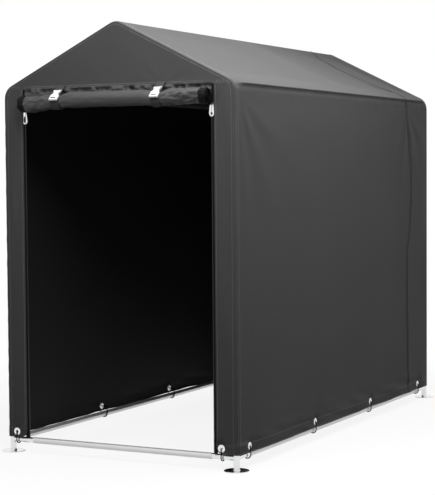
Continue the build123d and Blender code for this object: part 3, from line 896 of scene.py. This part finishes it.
def strip_point(sign, across, z, lift=0.0):
    """A point of a front strip: across is from 0 at the doorway to 1 at the rim and 2 at the side."""
    if across <= 1:
        inner = STRIP_EDGE
        if z < HEM + STRIP_CORNER:
            inner += STRIP_CORNER - sqrt(STRIP_CORNER**2 - (HEM + STRIP_CORNER - z) ** 2)
        x = mix(inner, end_x(z, RIM), across)
        out = strip_billow(sign, x - STRIP_EDGE, z) + lift
        return Vector((sign * x, FACE - out, z))
    turn = (across - 1) * pi / 2
    inset = RIM * (1 - sin(turn))
    reach = lift + 0.0008 * smooth(sin(turn * 2)) * (0.6 + rumple(z * 30.0, sign, 4.0))
    x = end_x(z, inset) + reach * sin(turn)
    return Vector((sign * x, FACE + RIM * (1 - cos(turn)) - reach * cos(turn), z))


def end_billow(end, x, z):
    """How far an end wall stands out of its flat shape."""
    edge = min(end_top(x) - z, end_x(min(z, EAVE_Z), RIM) - abs(x))
    free = smooth(edge / 0.07)
    if end < 0:
        broad = rumple(x * 3.0, z * 3.0, 1.0) * 0.0026 + rumple(x * 6.0 + z * 7.0, z * 2.0, 5.0) * 0.0010
        tug = fan(x - 0.21, z - DOOR_SEAM, 9, 0.09) + fan(x + 0.25, z - DOOR_SEAM, 9, 0.07)
        pucker = exp(-(z - DOOR_SEAM) / 0.016) * rumple(x * 46.0, z * 10.0, 6.0) * 0.0014
        corner = fan(abs(x) - EAVE_X, z - DOOR_SEAM, 12, 0.06) * 0.0016
        return free * (0.001 + broad + tug * 0.0012) + pucker + corner * free
    points = [point.x for point in EYELETS["rear"]]
    broad = rumple(x * 1.6, z * 1.0, 12.0) * 0.0060 + rumple(x * 3.6, z * 2.0, 14.0) * 0.0020
    slack = fan(abs(x) - WALL, z - EAVE_Z, 13, 0.22) * 0.0030
    shape = free * (0.002 + broad) + slack * smooth(edge / 0.02)
    return (shape + hem_wave(x, z - HEM, points) * smooth(edge / 0.05)) * calm(x, z - HEM, points)


def end_point(end, x, z, lift=0.0):
    """A point of the flat part of the gable or the back wall."""
    y = (FACE if end < 0 else BACK) + end * (end_billow(end, x, z) + lift)
    return Vector((x, y, z))


def rim_point(end, x, z, turn, bottom, lift=0.0):
    """A point of an end wall's rounded rim, beyond the point of its edge at x and z."""
    inset = RIM * (1 - sin(turn))
    side, far = (1 if x > 0 else -1), abs(x)
    reach = ROUNDING - RIM
    if z < EAVE_Z - 1e-6:
        px, pz, nx, nz = WALL - inset, z, 1.0, 0.0
    elif far > EAVE_X + reach * sin(PITCH) + 1e-6:
        rise = max(bottom - EAVE_Z, 0.0)
        first, near = asin(rise / (ROUNDING - inset)), asin(rise / reach)
        at = acos(min((far - EAVE_X) / reach, 1.0))
        share = (at - near) / (EAVE_TURN - near)
        angle = mix(first, EAVE_TURN, share)
        nx, nz = cos(angle), sin(angle)
        px, pz = EAVE_X + (ROUNDING - inset) * nx, EAVE_Z + (ROUNDING - inset) * nz
    elif far > reach * sin(PITCH):
        nx, nz = sin(PITCH), cos(PITCH)
        px, pz = far + nx * (RIM - inset), z + nz * (RIM - inset)
    else:
        nx, nz = far / reach, sqrt(1 - (far / reach) ** 2)
        px, pz = nx * (ROUNDING - inset), RIDGE_Z + nz * (ROUNDING - inset)
    y = (FACE if end < 0 else BACK) - end * RIM * (1 - cos(turn))
    out = lift * sin(turn)
    return Vector((side * (px + nx * out), y + end * lift * cos(turn), pz + nz * out))


def end_grids(end, bottom, columns, shares):
    """The flat part of an end wall and its rim, as two grids."""
    order = columns if end < 0 else columns[::-1]
    rows = [[end_point(end, x, mix(bottom, end_top(x), b)) for x in order] for b in shares]
    uvs = [[(x * -end + 8 * end, mix(bottom, end_top(x), b)) for x in order] for b in shares]
    edge = [(x, end_top(x)) for x in order]
    if bottom < EAVE_Z:
        sides = [mix(bottom, EAVE_Z, b) for b in shares[:-1]]
        edge = [(order[0], z) for z in sides] + edge + [(order[-1], z) for z in sides[::-1]]
    turns = [pi / 2 * k / RIM_STEPS for k in range(RIM_STEPS + 1)]
    rim = [[rim_point(end, x, z, turn, bottom) for x, z in edge] for turn in turns]
    for j, (x, z) in enumerate(edge):
        rim[0][j] = end_point(end, x, z)
    run = [0.0]
    for a, b in zip(rim[0], rim[0][1:]):
        run.append(run[-1] + (b - a).length)
    rim_uvs = [[(at + 8 * end, 3 + turn * RIM) for at in run] for turn in turns]
    return [(rows, uvs), (rim, rim_uvs)]


class SHELTER_OT_end_cloth(bpy.types.Operator):
    """Makes the front gable, the strips beside the doorway and the back wall"""

    bl_idname = "shelter.end_cloth"
    bl_label = "End cloth"

    def execute(self, context):
        cover = context.scene.shelter_cover
        pair = [finish("cloth outside"), finish("cloth inside")]
        for sign, side in ((-1, "left"), (1, "right")):
            eyelet = next(point for point in EYELETS["front"] if point.x * sign > 0)
            at = (abs(eyelet.x) - STRIP_EDGE) / (WALL - RIM - STRIP_EDGE)
            across = stations(0.0, 1.0, [0.0, at, 1.0], 0.08, 0.11)
            across += [1 + k / RIM_STEPS for k in range(1, RIM_STEPS + 1)]
            marks = [HEM, eyelet.z, HEM + cover.hem, 0.31, 0.71, 1.20, DOOR_SEAM]
            heights = stations(HEM, DOOR_SEAM, marks, 0.0075, 0.014)
            rows, uvs = [], []
            for z in heights:
                band = 0.0011 if z <= HEM + cover.hem + 1e-6 else 0.0
                welt = 0.0010
                row = []
                for a in across:
                    x = a * (WALL - RIM - STRIP_EDGE)
                    hem = band * calm(x, z - HEM, [abs(eyelet.x) - STRIP_EDGE])
                    row.append(strip_point(sign, a, z, hem + (welt if 1.2 < a < 1.99 else 0.0)))
                uv = [(sign * 6 + mix(0, 0.08, a), z) for a in across]
                rows.append(row if sign > 0 else row[::-1])
                uvs.append(uv if sign > 0 else uv[::-1])
            hole = [Vector((eyelet.x, FACE, eyelet.z))]
            name = f"front_strip_{side}"
            made = grid_object(name, [(rows, uvs)], pair, hole, 0.015)
            thicken(made, cover.thickness)
            seat(made, "cover_fabric", name)
        self.gable(cover, pair)
        self.back(cover, pair)
        return {"FINISHED"}

    def gable(self, cover, pair):
        half = end_x(DOOR_SEAM, RIM)
        marks = [-half, -0.25, 0.0, 0.21, half]
        columns = stations(-half, half, marks, 0.006, 0.012)
        shares = stations(0.0, 1.0, [0.0, 1.0], 0.03, 0.06)
        pair = [finish("gable cloth"), finish("cloth inside")]
        made = grid_object("front_gable", end_grids(-1, DOOR_SEAM, columns, shares), pair)
        thicken(made, cover.thickness)
        seat(made, "cover_fabric", "front_gable")

    def back(self, cover, pair):
        half = WALL - RIM
        places = [point.x for point in EYELETS["rear"]]
        columns = stations(-half, half, [-half, *places, half], 0.008, cover.mesh_size)
        tall = CREST - HEM
        hem = cover.hem / tall
        rise = (EYELETS["rear"][0].z - HEM) / tall
        shares = stations(0.0, 1.0, [0.0, rise, hem, 1.0], 0.0052, cover.mesh_size / tall)
        grids = end_grids(1, HEM, columns, shares)
        holes = [Vector((point.x, BACK, point.z)) for point in EYELETS["rear"]]
        made = grid_object("back_wall", grids, pair, holes, 0.016)
        thicken(made, cover.thickness)
        seat(made, "cover_fabric", "back_wall")


# The rolled door
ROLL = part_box("rolled_door")
ROLL_RADIUS = 0.0325
ROLL_Y = ROLL[1].y - 0.030
ROLL_Z = ROLL[0].z + 0.030
ROLL_HALF = ROLL[1].x
FLAP_TOP = ROLL[1].z
ROLL_CORE = 0.003
DOOR_END = STRIP_EDGE - 0.010
LEAVE = radians(225)  # where the straps leave the roll, above the middle of its front
STRAPS = {side: sum(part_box(f"roll_strap_{side}"), Vector()) / 2 for side in ("left", "right")}


def roll_shape(x, angle):
    """How much wider than even the roll is at a place along it and round it."""
    left = smooth((-0.16 - x) / 0.08)
    right = smooth((x - 0.17) / 0.06)
    loose = 0.25 + 0.75 * max(left, right)
    across, up = cos(angle), sin(angle)
    big = rumple(x * 15.0, across * 1.4, up * 1.4 + 3.0) * 0.060
    small = 0.035 + 0.020 * max(left, right)
    fine = rumple(x * 40.0, across * 3.2, up * 3.2 + 8.0) * small
    dents = -exp(-abs(rumple(x * 24.0, across * 2.4 + 5.0, up * 2.4)) / 0.16) * small
    lines = rumple(x * 2.2, across * 4.5 + 20.0, up * 4.5) * 0.030
    pinch = min(sum(exp(-(((x - strap.x) / 0.030) ** 2)) for strap in STRAPS.values()), 1.0)
    pleats = sum(
        exp(-abs(abs(x - strap.x) - 0.032) / 0.030) * rumple(angle * 3.0, strap.x * 30, abs(x - strap.x) * 9)
        for strap in STRAPS.values()
    )
    shape = loose * (1.3 * big + 2.2 * fine + 2.2 * dents) + lines + 0.045 * pleats
    depth = bpy.context.scene.shelter_door.crumple * 10
    return depth * shape * (1 - 0.85 * pinch) - 0.165 * pinch - 0.01


def roll_point(x, angle, radius, lift=0.0):
    """A point of the roll; the angle starts at the rear and runs down and forward."""
    wide = 1 + roll_shape(x, angle % (2 * pi))
    far = radius * wide + lift
    pinch = min(sum(exp(-(((x - strap.x) / 0.035) ** 2)) for strap in STRAPS.values()), 1.0)
    rise = (0.011 * smooth((x + 0.34) / 0.14) - 0.002) * (1 - pinch)
    return Vector((x, ROLL_Y + far * cos(angle), ROLL_Z + rise - far * sin(angle)))


def flap_rows(xs):
    """Rows of the door from its sewn edge down to the back of the roll."""
    rows, steps = [], 14
    for i in range(steps):
        share = i / steps
        row = []
        for x in xs:
            start = roll_point(x, 0.0, ROLL_RADIUS)
            z = mix(FLAP_TOP, start.z, share)
            loose = smooth((DOOR_SEAM - z) / 0.005) * smooth((z - DOOR_SEAM + 0.017) / 0.005)
            pleat = max(0.0, rumple(x * 21.0, z * 7.0, 3.0)) + 0.4 * rumple(x * 60.0, z * 18.0, 7.0)
            hollow = 0.010 * (1 - min(1.6 * pleat, 1.0)) - 0.007 * pleat
            y = mix(ROLL[1].y - 0.0015, start.y, smooth((share - 0.75) / 0.25)) + loose * hollow
            row.append(Vector((x, y, z)))
        rows.append(row)
    return rows, [[(x, -row[0].z) for x in xs] for row in rows]


def roll_rows(xs, turns, pitch):
    """Rows of the door from the back of the roll round into its core."""
    rows, uvs, angle, run = [], [], 0.0, -ROLL_Z
    while angle < turns * 2 * pi:
        radius = ROLL_RADIUS - pitch * angle / (2 * pi)
        rows.append([roll_point(x, angle, radius) for x in xs])
        uvs.append([(x, run) for x in xs])
        step = 2 * pi / (44 if angle < 2.5 * pi else 12)
        run += radius * step
        angle += step
    return rows, uvs


class SHELTER_OT_rolled_door(bpy.types.Operator):
    """Makes the door, rolled up under the gable, with its zip edges"""

    bl_idname = "shelter.rolled_door"
    bl_label = "Rolled door"

    def execute(self, context):
        door = context.scene.shelter_door
        run = door.height - (FLAP_TOP - ROLL_Z)
        turns = run / (pi * (ROLL_RADIUS + ROLL_CORE))
        pitch = (ROLL_RADIUS - ROLL_CORE) / turns
        xs = stations(-ROLL_HALF, ROLL_HALF, [s.x for s in STRAPS.values()], 0.0045, 0.0055)
        ends = stations(ROLL_HALF, DOOR_END, [], 0.006, 0.006)
        flap, flap_uvs = flap_rows(xs)
        wound, wound_uvs = roll_rows(xs, turns, pitch)
        left = [-x for x in ends[::-1]]
        grids = [(flap + wound, flap_uvs + wound_uvs), flap_rows(ends), flap_rows(left)]
        made = grid_object("rolled_door", grids, [finish("door cloth")])
        thicken(made, door.thickness, False)
        seat(made, "door_fabric", "rolled_door")
        for side, xs in (("left", left), ("right", ends)):
            made = grid_object(f"door_edge_{side}", [roll_rows(xs, turns, pitch)], [finish("zip cloth")])
            thicken(made, door.thickness, False)
            seat(made, "zip_tape", f"zip_tape_{side}")
        return {"FINISHED"}


# The rod in a buckle's slot: its place from the buckle's lower end, face and edge, and its size
BAR_RISE = 0.010
BAR_DEPTH = 0.0010
BAR_INSET = 0.0075
BAR_LENGTH = 0.021
BAR_RADIUS = 0.0029


class SHELTER_OT_roll_straps(bpy.types.Operator):
    """Makes the webbing straps that hold the roll"""

    bl_idname = "shelter.roll_straps"
    bl_label = "Roll straps"

    def bar(self, side):
        """A short rod that stands for the webbing in the slot of a buckle."""
        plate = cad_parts[f"buckle_{side}"].data
        out = max(plate.polygons, key=lambda face: (face.normal.y < -0.5) * face.area).normal.copy()
        up = (Vector((0, 0, 1)) - out * out.z).normalized()
        points = [v.co for v in plate.vertices]
        level = min(point.dot(up) for point in points) + BAR_RISE
        depth = max(point.dot(out) for point in points) - BAR_DEPTH
        centre = up * level + out * depth
        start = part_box(f"buckle_{side}")[0].x + BAR_INSET
        path = [Vector((start + BAR_LENGTH * k / 8, centre.y, centre.z)) for k in range(9)]
        seat(tube_along(f"buckle_bar_{side}", path, BAR_RADIUS, finish("webbing")), "webbing")

    def execute(self, context):
        for side, middle in STRAPS.items():
            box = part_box(f"roll_strap_{side}")
            width = box[1].x - box[0].x
            xs = [middle.x + width * (k / 12 - 0.5) for k in range(13)]
            top = Vector((0, FACE - 0.0045, box[1].z - 0.001))
            leave = roll_point(middle.x, LEAVE, ROLL_RADIUS, 0.0032)
            line = [Vector((0, mix(top.y, leave.y, k / 8), mix(top.z, leave.z, k / 8))) for k in range(8)]
            for i in range(46):
                angle = mix(LEAVE, 0.0, i / 45)
                line.append(roll_point(middle.x, angle, ROLL_RADIUS, 0.0032))
            back = line[-1]
            for k in range(1, 7):
                y = mix(back.y, box[1].y, smooth(k / 6))
                line.append(Vector((0, y, mix(back.z, DOOR_SEAM - 0.001, k / 6))))
            rows, uvs, run = [], [], 0.0
            for i, point in enumerate(line):
                row = []
                for x in xs:
                    edge = smooth(abs(x - middle.x) / width * 2)
                    fold = 0.0011 * rumple(i * 0.45, x * 60.0, middle.x * 10) * (0.4 + edge)
                    out = (Vector((0, ROLL_Y, ROLL_Z)) - point) * Vector((0, 1, 1))
                    out.x = 0.0
                    row.append(Vector((x, point.y, point.z)) - out.normalized() * max(0.0, fold))
                rows.append(row)
                uvs.append([(x - middle.x, run) for x in xs])
                run += 0.0035
            grid = ([row[::-1] for row in rows], [uv[::-1] for uv in uvs])
            made = grid_object(f"roll_strap_{side}_web", [grid], [finish("webbing")])
            thicken(made, 0.0013, False)
            seat(made, "webbing", f"roll_strap_{side}")
            self.bar(side)
        return {"FINISHED"}


# A pull tab's outline: widths at its foot and head and of its opening as shares of its full width,
# the height of its widest place as a share of its run, and half its thickness
TAB_FOOT = 0.40
TAB_HEAD = 0.62
TAB_OPENING = 0.42
TAB_WAIST = 0.2
TAB_HALF = 0.0014


class SHELTER_OT_zips(bpy.types.Operator):
    """Makes the zip tapes beside the doorway and their teeth"""

    bl_idname = "shelter.zips"
    bl_label = "Zips"

    def pull(self, sign, side):
        """A flat pull tab with an opening: short on the right one, long on the left one."""
        low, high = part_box(f"zip_pull_{side}")
        middle = (low + high) / 2
        half = (high.x - low.x) / 2
        foot, head = (low.z + 0.017, high.z + 0.0085) if sign > 0 else (low.z + 0.004, high.z - 0.011)
        shift = 0.0 if sign > 0 else -0.004
        place, reach = (0.22, 0.085) if sign > 0 else (0.38, 0.32)
        run, outer = head - foot, []
        for i in range(28):
            turn = 2 * pi * i / 28
            share = 0.5 - 0.5 * cos(turn)
            width = mix(TAB_FOOT, 1.0, min(share / TAB_WAIST, 1.0))
            if share >= TAB_WAIST:
                width = mix(1.0, TAB_HEAD, (share - TAB_WAIST) / (1 - TAB_WAIST))
            level = min(max(sin(turn) * 4.0, -1.0), 1.0)
            outer.append((half * width * level, foot + run * share))
        hole = foot + run * place
        rows = []
        for x, z in outer + outer[:1]:
            turn = atan2((z - hole) / reach / run, x / TAB_OPENING / half)
            inner = (half * TAB_OPENING * cos(turn), hole + run * reach * sin(turn))
            ring = [(x * 0.9, z, -1), (x, z, -0.5), (x, z, 1), (*inner, 1), (*inner, -1), (x * 0.9, z, -1)]
            rows.append([Vector((middle.x + shift + a, middle.y + TAB_HALF * c, b)) for a, b, c in ring])
        uvs = [[(0.001 * i, 0.001 * k) for k in range(6)] for i in range(len(rows))]
        made = grid_object(f"zip_pull_{side}_tab", [(rows, uvs)], [finish("zip metal")])
        shape = bmesh.new()
        shape.from_mesh(made.data)
        bmesh.ops.remove_doubles(shape, verts=shape.verts, dist=1e-6)
        bmesh.ops.recalc_face_normals(shape, faces=shape.faces)
        for face in shape.faces:
            face.smooth = False
        shape.to_mesh(made.data)
        shape.free()
        seat(made, "zip_metal", f"zip_pull_{side}")

    def execute(self, context):
        trim = context.scene.shelter_trim
        tree = row_tree("Zip teeth", "GeometryNodeMeshCube", {}, finish("zip teeth"))
        for sign, side in ((-1, "left"), (1, "right")):
            self.pull(sign, side)
            inner = STRIP_EDGE - 0.011
            near, depth = FACE + 0.0023, 0.0014
            heights = stations(HEM, DOOR_SEAM, [], 0.012, 0.012)
            rows, uvs = [], []
            for z in heights:
                wave = 0.0006 * rumple(z * 9.0, sign, 3.0)
                xs = [inner + 0.016 * k / 8 for k in range(9)]
                row = [Vector((sign * x, near + wave * (1 - k / 8), z)) for k, x in enumerate(xs)]
                uv = [(x, z) for x in xs]
                rows.append(row if sign > 0 else row[::-1])
                uvs.append(uv if sign > 0 else uv[::-1])
            made = grid_object(f"zip_tape_{side}_web", [(rows, uvs)], [finish("zip cloth")])
            thicken(made, depth, False)
            seat(made, "zip_tape", f"zip_tape_{side}")
            path = [Vector((sign * (inner + 0.0004), near + depth / 2, z)) for z in heights]
            sizes = {"Pitch": trim.tooth_pitch, "Length": 0.0022, "Width": 0.0034, "Unevenness": 0.0}
            teeth = row_object(f"zip_teeth_{side}", [path], tree, sizes, finish("zip teeth"))
            for face in teeth.data.polygons:
                face.use_smooth = False
            seat(teeth, "zip_tape")
        return {"FINISHED"}


def lathe(profile, centre, axis, steps=36):
    """Rings of a profile of radius and height, turned about an axis through a centre."""
    side = axis.orthogonal().normalized()
    other = axis.cross(side)
    rows = []
    for radius, height in profile:
        ring = []
        for k in range(steps + 1):
            turn = 2 * pi * k / steps
            ring.append(centre + axis * height + (side * cos(turn) + other * sin(turn)) * radius)
        rows.append(ring)
    uvs = [[(k / steps * 0.05, i * 0.002) for k in range(steps + 1)] for i in range(len(rows))]
    return rows, uvs


class SHELTER_OT_eyelets(bpy.types.Operator):
    """Makes the eyelets, with rolled lips on both faces of the hem"""

    bl_idname = "shelter.eyelets"
    bl_label = "Eyelets"

    def execute(self, context):
        ways = {"left": (-1, 0, 0), "right": (1, 0, 0), "front": (0, -1, 0), "rear": (0, 1, 0)}
        half, outer, bore = 0.0027, 0.0155, 0.0055
        lip = [
            (bore, -half * 0.4), (bore, half * 0.4), (bore + 0.0006, half * 0.8), (bore + 0.002, half),
            (bore + 0.0045, half * 1.05), (outer - 0.003, half * 0.9), (outer - 0.0008, half * 0.62),
            (outer, half * 0.45), (outer, half * 0.2),
        ]
        under = [(radius, -height) for radius, height in lip[:0:-1]]
        for side, way in ways.items():
            axis = Vector(way)
            grids = [lathe(lip + under, point, axis) for point in EYELETS[side]]
            name = f"eyelets_{side}"
            made = grid_object(f"{name}_rolled", grids, [finish("eyelet nickel")])
            close_rims(made)
            seat(made, "eyelet_metal", name)
        return {"FINISHED"}


def gable_edge(end, turn, lift, bottom):
    """A line along the rim of an end wall, over the gable."""
    half = end_x(bottom, RIM)
    columns = stations(-half, half, [-half, 0.0, half], 0.006, 0.014)
    return [rim_point(end, x, end_top(x), turn, bottom, lift) for x in columns]


class SHELTER_OT_piping(bpy.types.Operator):
    """Makes the piping along the edges of the front and rear gables"""

    bl_idname = "shelter.piping"
    bl_label = "Piping"

    def execute(self, context):
        for end, name in ((-1, "front"), (1, "rear")):
            path = gable_edge(end, radians(38), 0.0004, DOOR_SEAM)
            made = tube_along(f"gable_piping_{name}", path, 0.0024, finish("cloth outside"))
            seat(made, "cover_fabric")
        return {"FINISHED"}


class SHELTER_OT_stitching(bpy.types.Operator):
    """Makes the rows of stitches along the seams and the hems, and near-black rows along the rear seams that
    are partly stitching and partly painted shade
    """

    bl_idname = "shelter.stitching"
    bl_label = "Stitching"

    def execute(self, context):
        cover, trim = context.scene.shelter_cover, context.scene.shelter_trim
        tree = row_tree("Stitches", "GeometryNodeMeshIcoSphere", {"Radius": 0.5}, finish("thread"))
        sizes = {
            "Pitch": trim.stitch_pitch, "Length": trim.stitch_length,
            "Width": trim.thread_width, "Unevenness": 0.15,
        }
        up = stations(HEM + 0.004, DOOR_SEAM - 0.004, [], 0.02, 0.02)
        whole = stations(0.004, RIDGE - 0.001, [EAVE_START, SLOPE_START, SLOPE_END], 0.008, 0.02)
        wall = [s for s in whole if s < EAVE_START]
        groups, seam_shade_rows = {"front": [], "rear": [], "seams": [], "hem": []}, []
        half = end_x(DOOR_SEAM, RIM)
        level = stations(-half, half, [], 0.01, 0.01)
        for rise in (0.0035, 0.0105):
            flap = [x for x in level if abs(x) < ROLL_HALF]
            groups["front"].append([Vector((x, ROLL[1].y - 0.0026, DOOR_SEAM + rise)) for x in flap])
            for sign in (-1, 1):
                rest = [x for x in level if x * sign > ROLL_HALF + 0.052]
                groups["front"].append([end_point(-1, x, DOOR_SEAM + rise, 0.0004) for x in rest])
        for sign in (-1, 1):
            for across in (0.93, 1.62):
                groups["front"].append([strip_point(sign, across, z, 0.0012) for z in up])
            groups["front"].append([strip_point(sign, 0.10, z, 0.0004) for z in up[3:]])
            groups["seams"].append([side_point(sign, FRONT + 0.005, s, 0.0004) for s in wall])
            # The two rows along each rear band's seam are real stitching, drawn in near-black thread below
            # as painted shade of the seam's gap
            for offset in (-0.0005, 0.0105):
                path = [side_point(sign, REAR_SEAM + seam_shift(s) + offset, s, 0.0012) for s in whole]
                seam_shade_rows.append(path)
            groups["seams"].append([side_point(sign, REAR - 0.006, s, 0.0004) for s in whole])
            along = stations(FRONT + 0.004, REAR - 0.004, [], 0.012, 0.012)
            for height in (cover.hem - 0.003, 0.004):
                groups["hem"].append([side_point(sign, y, height, 0.0015) for y in along])
            over = [side_point(sign, FRONT + 0.006, s, 0.0004) for s in whole if s > EAVE_START]
            groups["seams"].append(over)
        across = stations(-WALL + RIM, WALL - RIM, [], 0.012, 0.012)
        for height in (cover.hem - 0.003, 0.004):
            groups["hem"].append([end_point(1, x, HEM + height, 0.0004) for x in across])
            for sign in (-1, 1):
                shares = stations(0.04 if height > 0.02 else 0.3, 1.9, [], 0.12, 0.12)
                groups["hem"].append([strip_point(sign, a, HEM + height, 0.0016) for a in shares])
        for turn in (radians(8), radians(80)):
            groups["front"].append(gable_edge(-1, turn, 0.0004, DOOR_SEAM))
            groups["rear"].append(gable_edge(1, turn, 0.0004, DOOR_SEAM))
        for name, paths in groups.items():
            made = row_object(f"stitches_{name}", paths, tree, sizes, finish("thread"))
            seat(made, "cover_fabric")
        # Painted shade: near-black thread, longer and wider than the rest, so the rear seams' stitches run
        # together into a dark line like the shadow in the seam's gap
        black = finish("zip cloth")
        tree = row_tree("Stitches with painted seam shade", "GeometryNodeMeshIcoSphere", {"Radius": 0.5}, black)
        sizes |= {"Length": trim.stitch_length * 1.4, "Width": trim.thread_width * 2}
        seat(row_object("stitches_band_painted_shade", seam_shade_rows, tree, sizes, black), "cover_fabric")
        return {"FINISHED"}


def seen_rays(nodes, links):
    """1 for rays that show the surroundings: straight, mirrored or passed through."""
    paths = nodes.new("ShaderNodeLightPath")
    socket = paths.outputs["Is Camera Ray"]
    for name in ("Is Glossy Ray", "Is Transmission Ray"):
        either = nodes.new("ShaderNodeMath")
        either.operation = "MAXIMUM"
        links.new(socket, either.inputs[0])
        links.new(paths.outputs[name], either.inputs[1])
        socket = either.outputs[0]
    return socket


class SHELTER_OT_stage(bpy.types.Operator):
    """Sets the floor, the soft light, the white surroundings and the camera"""

    bl_idname = "shelter.stage"
    bl_label = "Stage"

    def execute(self, context):
        stage = context.scene.shelter_stage
        self.world(context.scene, stage)
        self.floor(context.scene)
        self.lamps(context.scene, stage)
        self.camera(context.scene, stage)
        context.scene.view_settings.view_transform = "Standard"
        return {"FINISHED"}

    def world(self, scene, stage):
        scene.world = bpy.data.worlds.new("Surroundings")
        scene.world.use_nodes = True
        nodes, links = scene.world.node_tree.nodes, scene.world.node_tree.links
        light = nodes["Background"]
        light.inputs["Color"].default_value = (1, 1, 1, 1)
        light.inputs["Strength"].default_value = stage.fill
        white = nodes.new("ShaderNodeBackground")
        white.inputs["Color"].default_value = (1, 1, 1, 1)
        either = nodes.new("ShaderNodeMixShader")
        links.new(seen_rays(nodes, links), either.inputs[0])
        links.new(light.outputs[0], either.inputs[1])
        links.new(white.outputs[0], either.inputs[2])
        links.new(either.outputs[0], nodes["World Output"].inputs["Surface"])

    def floor(self, scene):
        mesh = bpy.data.meshes.new("floor")
        reach = 30.0
        corners = [(-reach, -reach, 0), (reach, -reach, 0), (reach, reach, 0), (-reach, reach, 0)]
        mesh.from_pydata(corners, [], [(0, 1, 2, 3)])
        material = bpy.data.materials.new("floor")
        material.use_nodes = True
        nodes, links = material.node_tree.nodes, material.node_tree.links
        nodes.remove(nodes["Principled BSDF"])
        dull = nodes.new("ShaderNodeBsdfDiffuse")
        dull.inputs["Color"].default_value = (0.05, 0.05, 0.05, 1)
        pale = nodes.new("ShaderNodeBsdfDiffuse")
        pale.inputs["Color"].default_value = (0.8, 0.8, 0.8, 1)
        glow = nodes.new("ShaderNodeEmission")
        glow.inputs["Strength"].default_value = 1.0
        shown = nodes.new("ShaderNodeMixShader")
        place = nodes.new("ShaderNodeTexCoord")
        far = nodes.new("ShaderNodeVectorMath")
        far.operation = "LENGTH"
        links.new(place.outputs["Object"], far.inputs[0])
        fade = nodes.new("ShaderNodeMapRange")
        fade.interpolation_type = "SMOOTHSTEP"
        for socket, value in zip(fade.inputs[1:5], (0.8, 3.2, 0.12, 0.0)):
            socket.default_value = value
        links.new(far.outputs["Value"], fade.inputs[0])
        links.new(fade.outputs[0], shown.inputs[0])
        links.new(glow.outputs[0], shown.inputs[1])
        links.new(pale.outputs[0], shown.inputs[2])
        either = nodes.new("ShaderNodeMixShader")
        links.new(seen_rays(nodes, links), either.inputs[0])
        links.new(dull.outputs[0], either.inputs[1])
        links.new(shown.outputs[0], either.inputs[2])
        links.new(either.outputs[0], nodes["Material Output"].inputs["Surface"])
        mesh.materials.append(material)
        made = bpy.data.objects.new("floor", mesh)
        scene.collection.objects.link(made)

    def lamps(self, scene, stage):
        for name, place, size, power, tilt in (
            ("overhead", (0.95, -1.15, 2.65), (2.1, 3.4), stage.key, (0.0, 0.0, 0.0)),
            ("front", (-0.9, -3.4, 1.9), (1.6, 1.2), stage.front, (radians(80), 0.0, radians(-15))),
            ("left", (-2.9, 0.3, 1.6), (1.8, 2.4), stage.sides, (0.0, radians(-80), 0.0)),
            ("rear", (0.0, 3.4, 1.6), (1.8, 1.8), stage.sides, (radians(-80), 0.0, 0.0)),
        ):
            lamp = bpy.data.lights.new(name, "AREA")
            lamp.shape = "RECTANGLE"
            lamp.size, lamp.size_y = size
            lamp.energy = power
            made = bpy.data.objects.new(name, lamp)
            made.location = place
            made.rotation_euler = tilt
            made.visible_camera = False
            made.visible_glossy = False
            scene.collection.objects.link(made)

    def camera(self, scene, stage):
        data = bpy.data.cameras.new("camera")
        data.sensor_width = 36.0
        data.lens = stage.lens
        made = bpy.data.objects.new("camera", data)
        ahead = Vector(
            (-sin(stage.yaw) * cos(stage.pitch), cos(stage.yaw) * cos(stage.pitch), sin(stage.pitch))
        )
        level = Vector((cos(stage.yaw), sin(stage.yaw), 0))
        above = level.cross(ahead)
        right = level * cos(stage.roll) + above * sin(stage.roll)
        up = above * cos(stage.roll) - level * sin(stage.roll)
        turned = Matrix((right, up, -ahead)).transposed().to_4x4()
        made.matrix_world = Matrix.Translation(stage.camera_place) @ turned
        scene.collection.objects.link(made)
        scene.camera = made


class SHELTER_PT_panel(bpy.types.Panel):
    """Settings and steps of the bike shelter"""

    bl_label = "Bike Shelter"
    bl_space_type = "VIEW_3D"
    bl_region_type = "UI"
    bl_category = "Shelter"

    def draw(self, context):
        scene = context.scene
        for settings in (scene.shelter_cover, scene.shelter_door, scene.shelter_trim, scene.shelter_stage):
            box = self.layout.box()
            for name in settings.bl_rna.properties.keys():
                if name not in ("rna_type", "name"):
                    box.prop(settings, name)
        for step in STEPS:
            self.layout.operator(step.bl_idname)


SETTINGS = {
    "shelter_cover": CoverSettings,
    "shelter_door": DoorSettings,
    "shelter_trim": TrimSettings,
    "shelter_stage": StageSettings,
}
STEPS = (
    SHELTER_OT_stage,
    SHELTER_OT_frame_finishes,
    SHELTER_OT_side_cloth,
    SHELTER_OT_end_cloth,
    SHELTER_OT_rolled_door,
    SHELTER_OT_roll_straps,
    SHELTER_OT_zips,
    SHELTER_OT_eyelets,
    SHELTER_OT_piping,
    SHELTER_OT_stitching,
)


def register():
    for kind in (*SETTINGS.values(), *STEPS, SHELTER_PT_panel):
        bpy.utils.register_class(kind)
    for name, kind in SETTINGS.items():
        setattr(bpy.types.Scene, name, PointerProperty(type=kind))


def unregister():
    for name in SETTINGS:
        delattr(bpy.types.Scene, name)
    for kind in reversed((*SETTINGS.values(), *STEPS, SHELTER_PT_panel)):
        bpy.utils.unregister_class(kind)


def main():
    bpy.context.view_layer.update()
    register()
    for step in STEPS:
        group, name = step.bl_idname.split(".")
        getattr(getattr(bpy.ops, group), name)()


if __name__ == "__main__":
    main()
